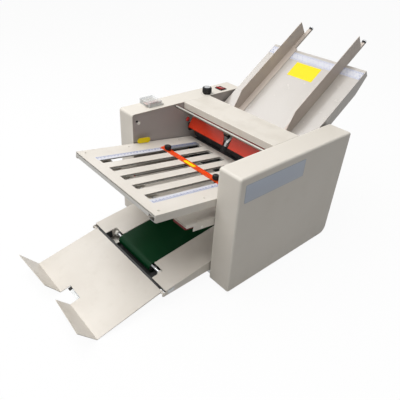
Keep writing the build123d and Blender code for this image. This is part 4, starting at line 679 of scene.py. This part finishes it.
def row(name, head, spots, finish, body, slot):
    """Copies of a head at places given as matrices, each with its own scale."""
    data = bpy.data.meshes.new(name + "_points")
    inward = (Matrix.Translation(ORIGIN) @ Matrix.Scale(MM, 4)).inverted()
    data.from_pydata([(inward @ place.translation)[:] for place, scale in spots], [], [])
    for label, kind in HEAD_ATTRIBUTES:
        data.attributes.new(label, kind, "POINT")
    for at, (place, scale) in enumerate(spots):
        data.attributes["turn"].data[at].vector = place.to_euler()
        data.attributes["size"].data[at].value = scale
    return grown(name, data, row_tree, Matrix.Translation(ORIGIN), finish, body, slot, Head=head)


def channel(profile, sheet, low_u, high_u):
    """Strip folded from sheet to a profile of (v, w) points and cut off at both ends."""
    mesh = bmesh.new()
    points = [Vector(point) for point in profile]
    inner = []
    for at, point in enumerate(points):
        before = (point - points[at - 1]).normalized() if at else (points[1] - point).normalized()
        after = (points[at + 1] - point).normalized() if at + 1 < len(points) else before
        across = Vector((-before.y - after.y, before.x + after.x)).normalized()
        inner.append(point + across * sheet / across.dot(Vector((-after.y, after.x))))
    outline = points + inner[::-1]
    ends = [[mesh.verts.new((u, v, w)) for v, w in outline] for u in (low_u, high_u)]
    count, last = len(outline), len(profile) - 1
    for at in range(count):
        after = (at + 1) % count
        mesh.faces.new((ends[0][at], ends[0][after], ends[1][after], ends[1][at]))
    for ring in ends:
        for at in range(last):
            mesh.faces.new((ring[at], ring[at + 1], ring[count - 2 - at], ring[count - 1 - at]))
    return mesh


screw_steel = turned("screw_steel", srgb(206, 206, 204), srgb(136, 134, 130), roughness=0.26,
                     along=(40.0, 40.0, 40.0))


def plate_screws(name, plate, screw_u, turn_by_v, side_turn, radius):
    """Screws at both sides of a plate, turned a little as each was tightened."""
    spots = [(plate(side * screw_u, v, 0.0, side_turn * side + turn), radius)
             for side in (-1, 1) for v, turn in turn_by_v.items()]
    row(name, screw_head, spots, sheet_enamel, "root", "sheet_paint")


plate_screws("upper_plate_screws", UPPER_PLATE, 158, {18: 18, 150: 150, 330: 330}, 25, 2.6)
keep("cover_stop", slab(oval(7.0, 6.4, 0.0), 1.0, edge=0.2), facing_right(WALL, 7.5, 323.5),
     foot_rubber, "root")

FOLD_TOP, FOLD_THICKNESS, RIVET_V = -12.3, 1.2, 56.0
keep("return_fold", slab(rounded(-170.0, 150.0, 1.5, 72.0, 3.0), FOLD_THICKNESS, edge=0.2),
     UPPER_PLATE(w=FOLD_TOP - FOLD_THICKNESS), sheet_enamel, "root")
rivet_head = pattern_object("rivet_head", lathe(
    [(0, 0), (5.6, 0), (5.6, 0.35), (4.4, 0.85), (3.0, 0.95), (2.6, 0.6), (0, 0.6)]))
row("fold_rivets", rivet_head, [(UPPER_PLATE(u, RIVET_V, FOLD_TOP), 1.0)
                                for u in (-57.0, -7.5, 42.5, 92.5)],
    screw_steel, "root", "plated_steel")
keep("corner_tab", channel([(2.0, -18.8), (17.0, -18.8)], 1.3, 150.0, 171.3), UPPER_PLATE(),
     zinc_plate, "root")

plate_screws("lower_plate_screws", LOWER_PLATE, 160, {40: 0, 130: 0}, 40, 2.8)
nylon_tip = moulded("nylon_tip", srgb(232, 230, 222), srgb(190, 186, 174), roughness=0.40)
keep("cover_push_button", lathe([(0, 0), (4.6, 0), (4.6, 0.9), (3.4, 1.9), (0, 2.3)]),
     facing_right(WALL, 13.7, 317.0), nylon_tip, "root")
keep("plate_bolt_tip", lathe([(0, 0), (3.6, 0), (3.6, 2.4), (2.8, 3.2), (0, 3.2)]),
     facing_right(172.0, -39.0, 190.0), nylon_tip, "root")

ruler_tree = repeat_tree("ruler_marks", Count=10, Pitch=5.0, Short=5.0, Long=9.0, Long_Every=2,
                         Width=1.7, Height=0.12)
given = ruler_tree.given
mark_row = ruler_tree.link("GeometryNodeMeshLine", {"mode": "OFFSET"}, {
    "Count": given["Count"], "Offset": ruler_tree.vector(0.0, given["Pitch"])})
mark_block = ruler_tree.link("GeometryNodeMeshCube", {}, {
    "Size": ruler_tree.vector(1.0, given["Width"], given["Height"])})
mark_from_edge = ruler_tree.link("GeometryNodeTransform", {}, {
    "Geometry": mark_block, "Translation": (0.5, 0.0, 0.0)})
mark_number = ruler_tree.link("GeometryNodeInputIndex", {}, {})
is_long = mark_number.maths("MODULO", mark_number, given["Long Every"]) < 0.5
mark_length = given["Short"] + is_long * (given["Long"] - given["Short"])
close_tree(ruler_tree, ruler_tree.link("GeometryNodeInstanceOnPoints", {}, {
    "Points": mark_row, "Instance": mark_from_edge,
    "Scale": ruler_tree.vector(mark_length, 1.0, 1.0)}))


def printed(name, colour, paper):
    """Screen-printed ink: thin in places, so that the film under it shows."""
    made = Finish(name, Specular_IOR_Level=0.4)
    thin = made.cloud(420.0, 3.0)
    made.set(Base_Color=made.between(thin.rise(0.50, 0.85) * 0.35, colour, paper),
             Roughness=0.42 + thin * 0.10)
    return made


FILM, FILM_THICKNESS = srgb(216, 217, 224), 0.2
# Painted shade: the strips' rear part is painted grey for the shadow and dark reflection it lies
# in.
PAINTED_SHADE_FROM, PAINTED_SHADE_FULL, PAINTED_SHADE_TO = (ORIGIN.y + y for y in (0.058, 0.072, 0.250))
ruler_film = Finish("ruler_film")
film_haze = ruler_film.cloud(26.0, 4.0)
painted_shade_band = ruler_film.y.rise(PAINTED_SHADE_FROM, PAINTED_SHADE_FULL) * (ruler_film.y < PAINTED_SHADE_TO)
pale = ruler_film.between(film_haze * 0.4, FILM, srgb(204, 206, 216))
ruler_film.set(Base_Color=ruler_film.between(painted_shade_band * 0.85, pale, srgb(118, 121, 130)),
               Roughness=0.22 + film_haze * 0.14)
ruler_film.bump(film_haze, 0.00005, 0.3)
ruler_ink = printed("ruler_ink", srgb(74, 92, 158), FILM)
DIGIT_RAISE, DIGIT_STEP = 0.05, 0.62


def digit_meshes(size):
    """Flat meshes of the ten digits, in millimetres, centred on their own places."""
    made = []
    for digit in range(10):
        curve = bpy.data.curves.new("digit", "FONT")
        curve.body = str(digit)
        curve.size = size
        curve.align_x, curve.align_y = "CENTER", "CENTER"
        curve.extrude = DIGIT_RAISE
        curve.resolution_u = 2
        holder = bpy.data.objects.new("digit", curve)
        made.append(bpy.data.meshes.new_from_object(holder))
        bpy.data.objects.remove(holder)
    return made


def numbers(name, entries, size, place, finish, body):
    """Row of whole numbers at places given in millimetres: value, u, v and spin."""
    glyphs = digit_meshes(size)
    mesh = bmesh.new()
    for value, u, v, spin in entries:
        text = str(value)
        spot = Matrix.Translation((u, v, 0)) @ spun(spin, "Z")
        for at, letter in enumerate(text):
            along = (at - (len(text) - 1) / 2) * size * DIGIT_STEP
            glyph = glyphs[int(letter)].copy()
            glyph.transform(spot @ Matrix.Translation((along, 0, 0)))
            mesh.from_mesh(glyph)
    return keep(name, mesh, place, finish, body)


RULER_FROM, RULER_TO, RULER_MARGIN = 30.0, 366.0, 4.0
FIRST_NUMBER, NUMBER_EVERY = 5, 2
for side, inner, outer in (("left", -106.0, -125.0), ("right", 112.5, 128.0)):
    outward = 1 if outer > inner else -1
    strip = rounded(min(inner, outer), max(inner, outer), RULER_FROM - RULER_MARGIN,
                    RULER_TO + RULER_MARGIN, 1.0)
    keep("ruler_" + side, slab(strip, FILM_THICKNESS), UPPER_PLATE(), ruler_film, "root")
    marks_from = UPPER_PLATE(outer - outward * 0.6, RULER_FROM, FILM_THICKNESS)
    grown("ruler_marks_" + side, bpy.data.meshes.new("ruler_seed"), ruler_tree,
          marks_from @ Matrix.Diagonal((-outward, 1, 1, 1)), ruler_ink, "root", "sheet_paint",
          Count=int((RULER_TO - RULER_FROM) / ruler_tree.inputs["Pitch"]) + 1)
    steps = range(int((RULER_TO - RULER_FROM) / (10 * NUMBER_EVERY)) + 1)
    numbers("ruler_numbers_" + side,
            [(FIRST_NUMBER + NUMBER_EVERY * step, (inner + outer) / 2 + outward * 2.2,
              RULER_FROM + 10 * NUMBER_EVERY * step, 90) for step in steps],
            5.2, UPPER_PLATE(w=FILM_THICKNESS + DIGIT_RAISE), ruler_ink, "root")


# Stop bars and thumb knobs
# Angles of painted steel whose fingers reach down through the slots: orange above, red below. Black
# knurled knobs with a steel stud clamp them. A plain yellow sticker marks the middle of the upper
# one, and a red nylon pad hangs under the lower one; its red is painted dark as painted shade under
# the lower plate.
def gloss(name, colour, rubbed):
    """Glossy enamel, rubbed duller where it slides and is handled."""
    made = Finish(name)
    handled = made.cloud(52.0, 5.0).rise(0.50, 0.76)
    made.set(Base_Color=made.between(handled * 0.35, colour, rubbed),
             Roughness=0.24 + handled * 0.18, Coat_Weight=0.35 - handled * 0.30)
    made.bump(made.cloud(260.0, 2.0), 0.00004, 0.4)
    return made


orange_enamel = gloss("orange_enamel", srgb(236, 78, 18), srgb(206, 72, 28))
red_enamel = gloss("red_enamel", srgb(186, 26, 22), srgb(142, 24, 22))
red_nylon = moulded("red_nylon", srgb(112, 6, 10), srgb(84, 14, 14), roughness=0.5)
black_moulding = moulded("black_moulding", srgb(22, 22, 23), srgb(58, 57, 56), roughness=0.34)
coat(orange_enamel, "upper_stop_bar", "rear_stop_bar_upper")
coat(red_enamel, "lower_stop_bar", "rear_stop_bar_lower")
coat(black_moulding, "stop_knob_left", "stop_knob_right", "lower_stop_knob", "separator_knob",
     "guide_knob_left", "guide_knob_right", "speed_knob", "switch_bezel", "power_inlet")

# Painted shade: the pad's red is painted dark for the shadow under the lower plate.
keep("lower_stop_foot", slab(rounded(108.0, 156.0, -40.0, -12.0, 2.5), 11.0, lift=12.3, edge=0.7),
     LOWER_PLATE() @ spun(180, "X"), red_nylon, "lower_stop")

STOP_V, STOP_TOP, HEM_HALF_LENGTH, SHEET = 248.0, 2.3, 121.0, 1.2
hem = channel([(-15.8, 0.5), (-15.8, STOP_TOP), (-11.8, STOP_TOP)], -SHEET, -HEM_HALF_LENGTH,
              HEM_HALF_LENGTH)
keep("stop_bar_hem", hem, UPPER_PLATE(0, STOP_V), orange_enamel, "upper_stop")
keep("stop_bar_sticker", slab(rounded(-21.5, 21.0, -13.6, -2.0, 4.2), STICKER_THICKNESS),
     UPPER_PLATE(-2.0, STOP_V, STOP_TOP), yellow_film, "upper_stop")

KNOB_U, KNOB_V, KNOB_TOP = 100.0, STOP_V - 7.0, 0.3 + 2.0 + 12.0
CAP_RADIUS, CAP_FOOT, CAP_EDGE_UP, CAP_DOME = 8.3, -0.3, 0.2, 2.6
for side, u in (("left", -KNOB_U), ("right", KNOB_U)):
    dome = [(CAP_RADIUS * math.cos(lean), CAP_EDGE_UP + CAP_DOME * math.sin(lean))
            for lean in (math.radians(degrees) for degrees in range(0, 90, 12))]
    keep("stop_knob_cap_" + side, lathe([(0, CAP_FOOT), (CAP_RADIUS, CAP_FOOT)] + dome
                                        + [(0, CAP_EDGE_UP + CAP_DOME)], 32),
         UPPER_PLATE(u, KNOB_V, KNOB_TOP), black_moulding, "upper_knob_" + side)


# Delivery bed, conveyor and receiving tray
# A folded cream bed carries a glossy dark green belt on two chromed rollers, the front one in a
# black trough with white nylon collars on its shaft; the trough's black is painted shade for the
# dark gap under the belt. A cream tray hangs from the bed's front on two pins. Its two flaps, bent
# up, stop the folded sheets.
BED = Slope(-141.5, 39.1, 6.8)
OUT_TRAY = Slope(-146.0, 28.5, 12.1)
coat(sheet_enamel, "delivery_bed", "receiving_tray")
coat(ground_steel, "conveyor_roller_front", "conveyor_roller_rear")

WEAVE_WIDTH = 0.0009
belt = Finish("belt_cover", Specular_IOR_Level=0.12)
weave = belt.x.ridges(WEAVE_WIDTH) + belt.y.ridges(WEAVE_WIDTH)
polish = belt.cloud(16.0, 4.0, belt.stretched((1.0, 0.35, 1.0)))
lint = belt.specks(120.0, 0.05) * belt.cloud(20.0).rise(0.5, 0.7)
belt.set(Base_Color=belt.between((polish * 0.40 + lint * 0.4).clamped(), srgb(0, 47, 20),
                                 srgb(1, 66, 34)),
         Roughness=0.34 + polish * 0.16 + lint * 0.3, Coat_Weight=0.05 - polish * 0.04,
         Coat_Roughness=0.25)
belt.bump(weave * 0.1125 + belt.cloud(1600.0, 1.0) * 0.3, 0.00006, 0.35)
coat(belt, "conveyor_belt")

# Painted shade: this black stands in for the shade in the gap under the belt, on the trough and the
# right bearing plate.
pan_enamel = enamel("pan_enamel", srgb(26, 26, 27), srgb(52, 51, 50), roughness=0.55)
keep("roller_trough", channel([(1.6, -8.0), (1.6, -36.5), (58.0, -36.5)], SHEET, -164.0, 130.0),
     BED(), pan_enamel, "root")
SHAFT_V, SHAFT_W = 32.0, -15.8
for side, low_u, high_u, collar_u, finish, slot in (
        ("left", -111.6, -79.0, -109.6, drawn_steel, "plated_steel"),
        ("right", 79.0, 111.6, 98.6, pan_enamel, "black_plastic")):
    keep("bearing_plate_" + side,
         channel([(7.0, -24.5), (44.5, -24.5), (44.5, -2.0)], -SHEET, low_u, high_u), BED(), finish,
         "root")
    collar = [(5.05, 0), (7.6, 0), (8.4, 0.8), (8.4, 10.2), (7.6, 11), (5.05, 11), (5.05, 0)]
    keep("shaft_collar_" + side, lathe(collar, 28), BED(collar_u, SHAFT_V, SHAFT_W) @ spun(90, "Y"),
         nylon_tip, "conveyor_idler")
# Painted shade: a black strip along the bed's front edge stands in for the shaded gap between bed
# and tray.
keep("bed_edge_strip", channel([(-0.1, -1.8), (-0.1, -8.0)], -SHEET, 114.0, 169.0), BED(),
     foot_rubber, "root")
keep("bed_corner_plate", slab(rounded(5.0, 25.0, -13.5, -2.0, 1.5), 1.0, edge=0.15),
     BED(170.0) @ spun(90, "Z") @ spun(90, "X"), zinc_plate, "root")

NOTCH_EDGE = [(-156.0, 0.5), (-156.0, -2.2), (-164.0, -2.2)]
# Painted shade: the black buffer stands in for the shadowed corner in the notch; the zinc lip
# beside it is real.
for name, low_u, high_u, finish, slot in (
        ("notch_lip", -14.0, 22.0, zinc_plate, "plated_steel"),
        ("notch_buffer", -26.0, -16.0, foot_rubber, "foot_rubber")):
    keep(name, channel(NOTCH_EDGE, 1.0, low_u, high_u), OUT_TRAY(), finish, "catch_tray")


# Feed tray and paper guides
# The tray is one folded sheet. A white scale is stuck along its far edge and a plain yellow sticker
# below it. Two brown-grey guides hook over that edge, each with a small chromed screw knob.
TRAY = Slope(561.469, 462.693, 35.6)
tray_enamel = enamel("tray_enamel", srgb(190, 184, 177), srgb(168, 161, 152), depth=0.00003,
                     roughness=0.26)
tray_enamel.set(Specular_IOR_Level=0.8)
guide_enamel = enamel("guide_enamel", srgb(206, 194, 183), srgb(164, 152, 142), depth=0.00004,
                      roughness=0.40)
coat(tray_enamel, "feed_tray")
coat(guide_enamel, "paper_guide_left", "paper_guide_right")

keep("tray_scale", slab(rounded(-166.5, 166.5, -36.0, -9.0, 1.0), FILM_THICKNESS), TRAY(),
     ruler_film, "root")
MARKS_FROM, MARK_COUNT, TRAY_NUMBERS = -165.0, 67, range(-16, 17, 2)
for edge_name, start, inward in (("upper", -9.8, -1), ("lower", -35.2, 1)):
    grown("tray_scale_marks_" + edge_name, bpy.data.meshes.new("scale_seed"), ruler_tree,
          TRAY(MARKS_FROM, start, FILM_THICKNESS, -90) @ Matrix.Diagonal((-inward, 1, 1, 1)),
          ruler_ink, "root", "sheet_paint", Count=MARK_COUNT, Short=4.0, Long=7.5, Width=1.3)
numbers("tray_scale_numbers", [(abs(number), number * 10.0, -22.5, 0) for number in TRAY_NUMBERS],
        6.5, TRAY(w=FILM_THICKNESS + DIGIT_RAISE), ruler_ink, "root")
keep("tray_sticker", slab(rounded(-46.0, 45.0, -94.0, -41.0, 2.0), STICKER_THICKNESS), TRAY(),
     yellow_film, "root")

GUIDE_U, BAR_END_V, BAR_W = 96.0, 90.0, -1.2
sleeve = [(0, 9.1), (6.45, 9.1), (6.45, 4.6), (7.0, 4.6), (7.0, 8.8), (6.3, 9.6), (0, 9.8)]
for side, u in (("left", -GUIDE_U), ("right", GUIDE_U)):
    keep("guide_knob_cap_" + side, lathe(sleeve, 28), TRAY(u, BAR_END_V, BAR_W) @ spun(-90, "X"),
         ground_steel, "guide_screw_" + side)
keep("guide_mark", slab(rounded(-121.5, -103.5, -3.2, -0.9, 0.4), STICKER_THICKNESS), TRAY(w=1.8),
     red_enamel, "guide_left")


# Finger guard and separator
# The guard is a clear red-orange acrylic sheet clipped over a rod, so that it can be lifted. Beside
# its gap the separator's plated block hangs on the same rod, with a black knob for its gap. A red
# catch and a black bracket on the left side plate hold the guard's end.
GUARD_FOOT, GUARD_TOP = ORIGIN.z + 0.262, ORIGIN.z + 0.322
guard = Finish("guard_acrylic")
# Painted shade: the acrylic's red is painted darker towards the guard's top, where it lies in
# shade.
height = guard.z.rise(GUARD_FOOT, GUARD_TOP)
smear = guard.cloud(34.0, 5.0, guard.stretched((1.0, 2.5, 2.5)))
guard.set(Base_Color=guard.between((height * 0.55 + smear * 0.15).clamped(), srgb(220, 56, 18),
                                   srgb(128, 29, 17)),
          Alpha=0.86 + height * 0.08, Roughness=0.16 + smear * 0.16,
          Coat_Weight=0.3 - smear * 0.2)
guard.bump(smear, 0.00006, 0.3)
coat(guard, "finger_guard")
coat(zinc_plate, "separator_block")
keep("guard_catch", slab(oval(13.0, 7.5, math.radians(60)), 6.0, edge=0.8),
     facing_right(WALL, 188.0, 289.0), red_enamel, "root")
keep("guard_bracket", slab(rounded(-7.0, 7.0, -12.0, 12.0, 2.0), 7.0, edge=0.8),
     facing_right(WALL, 199.0, 264.0), black_moulding, "root")


# Top cover
# A folded lid over the rollers, in the side covers' texture paint, which turns up on the rear rod.
coat(cream_enamel("top_cover_paint", *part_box("top_cover"), edge=0.003), "top_cover")


# Counter, speed knob, switch and inlet
# The batch counter stands under a clear hinged lid, with a dark red display at its edge. The speed
# knob has a ribbed grip, a bright disc and a ring of printed ticks. The red rocker sits in a black
# bezel, and its raised half is its crown.
case_plastic = moulded("counter_case", srgb(206, 204, 198), srgb(176, 172, 162), roughness=0.30)
button_plastic = moulded("button_plastic", srgb(228, 224, 214), srgb(186, 178, 162), roughness=0.34)
red_plastic = moulded("rocker_plastic", srgb(176, 22, 20), srgb(120, 30, 26), grain=600.0,
                      depth=0.00003, roughness=0.24)
coat(case_plastic, "counter_body")
coat(button_plastic, "reset_button")
coat(red_plastic, "rocker_switch")

UP = (0, 0, 1)
CASE_FACE, CASE_TOP, COVER_TOP = -192.2, 350.0, (cover_high.z - ORIGIN.z) / MM
display_film = sticker_film("display_film", srgb(122, 20, 34), srgb(92, 14, 26))
panel_film = sticker_film("panel_film", srgb(206, 186, 180), srgb(188, 164, 158))
keep("counter_display", slab(rounded(-199.0, CASE_FACE - 0.6, 73.0, 101.0, 1.0), 1.0, edge=0.3),
     facing((0, 0, CASE_TOP), UP), display_film, "root")
keep("counter_panel", slab(rounded(-212.0, -194.0, 62.0, 108.0, 1.5), 0.3, edge=0.1),
     facing((0, 0, CASE_TOP), UP), panel_film, "root")

DIAL = facing((-192.0, 288.0, COVER_TOP), UP)
GRIP_FOOT, GRIP_TOP, RIB_COUNT, DISC_HALF = 4.2, 20.5, 20, 9.2
grip = [(0, GRIP_FOOT), (13.9, GRIP_FOOT), (13.6, 12.0), (13.2, 19.2), (12.2, GRIP_TOP),
        (0, GRIP_TOP)]
keep("speed_knob_grip", lathe(grip, 40), DIAL, black_moulding, "dial")
rib = pattern_object("rib", slab(rounded(12.6, 14.6, -0.6, 0.6, 0.5, 2), 14.2, lift=4.6, edge=0.3))
row("speed_knob_ribs", rib, [(DIAL @ spun(360 / RIB_COUNT * at, "Z"), 1.0)
                             for at in range(RIB_COUNT)], black_moulding, "dial", "black_plastic")
disc = rounded(-DISC_HALF, DISC_HALF, -DISC_HALF, DISC_HALF, DISC_HALF - 0.01, 8)
keep("speed_knob_disc", slab(disc, 0.5, lift=GRIP_TOP, edge=0.15), DIAL, pulley_metal, "dial")
keep("speed_knob_pointer", slab(rounded(-0.9, 0.9, 9.4, 12.0, 0.5), 0.3, lift=GRIP_TOP), DIAL,
     nylon_tip, "dial")
FIRST_TICK, TICK_STEP, TICK_COUNT = 60, 24, 11
tick = pattern_object("tick", slab(rounded(16.6, 19.6, -0.4, 0.4, 0.15, 1), 0.12))
black_ink = printed("black_ink", srgb(52, 54, 60), CREAM)
row("speed_ticks", tick, [(DIAL @ spun(FIRST_TICK + TICK_STEP * at, "Z"), 1.0)
                          for at in range(TICK_COUNT)], black_ink, "root", "cover_paint")

rocker_low, rocker_high = (((corner - ORIGIN) / MM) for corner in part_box("rocker_switch"))
rocker_middle = (rocker_low.y + rocker_high.y) / 2
CROWN_INSET = 1.0
crown = [(rocker_low.y + CROWN_INSET, rocker_high.z - 3.0),
         (rocker_middle - CROWN_INSET, rocker_high.z - 3.0),
         (rocker_middle - CROWN_INSET, rocker_high.z - 1.2),
         (rocker_low.y + 1.6, rocker_high.z + 1.6)]
keep("rocker_crown", slab(crown, rocker_high.x - rocker_low.x - 2 * CROWN_INSET, edge=0.5),
     facing_right(rocker_low.x + CROWN_INSET), red_plastic, "rocker")

LID_WALL_FROM, LID_WALL_TO = 0.0006, 0.0030
lid = Finish("lid_acrylic")
haze = lid.cloud(60.0, 4.0)
lid_low, lid_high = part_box("counter_cover")
near_x = (lid.x - lid_low.x).least(lid_high.x - lid.x)
near_y = (lid.y - lid_low.y).least(lid_high.y - lid.y)
lid_edge = 1.0 - near_x.least(near_y).rise(LID_WALL_FROM, LID_WALL_TO)
lid.set(Base_Color=lid.between(haze * 0.3, srgb(236, 238, 238), srgb(208, 212, 212)),
        Alpha=(0.10 + lid_edge * 0.30 + haze * 0.08).clamped(), Roughness=0.10 + haze * 0.14,
        Coat_Weight=0.4 - haze * 0.3)
lid.bump(haze, 0.00006, 0.3)
coat(lid, "counter_cover")


# Cover screws
# Round-headed screws hold each side cover to its side plate from behind. They are the last row, so
# the patterns that were repeated are taken away.
COVER_MIDDLE, REAR, SCREW_RADIUS = 205.0, (cover_high.y - ORIGIN.y) / MM, 3.6
rear_spots = [(facing((side * COVER_MIDDLE, REAR, height), (0, 1, 0)), SCREW_RADIUS)
              for side in (-1, 1) for height in (45.0, 170.0, 300.0)]
row("cover_screws", screw_head, rear_spots, screw_steel, "root", "plated_steel")
for pattern in (screw_head, rivet_head, rib, tick):
    bpy.data.objects.remove(pattern)
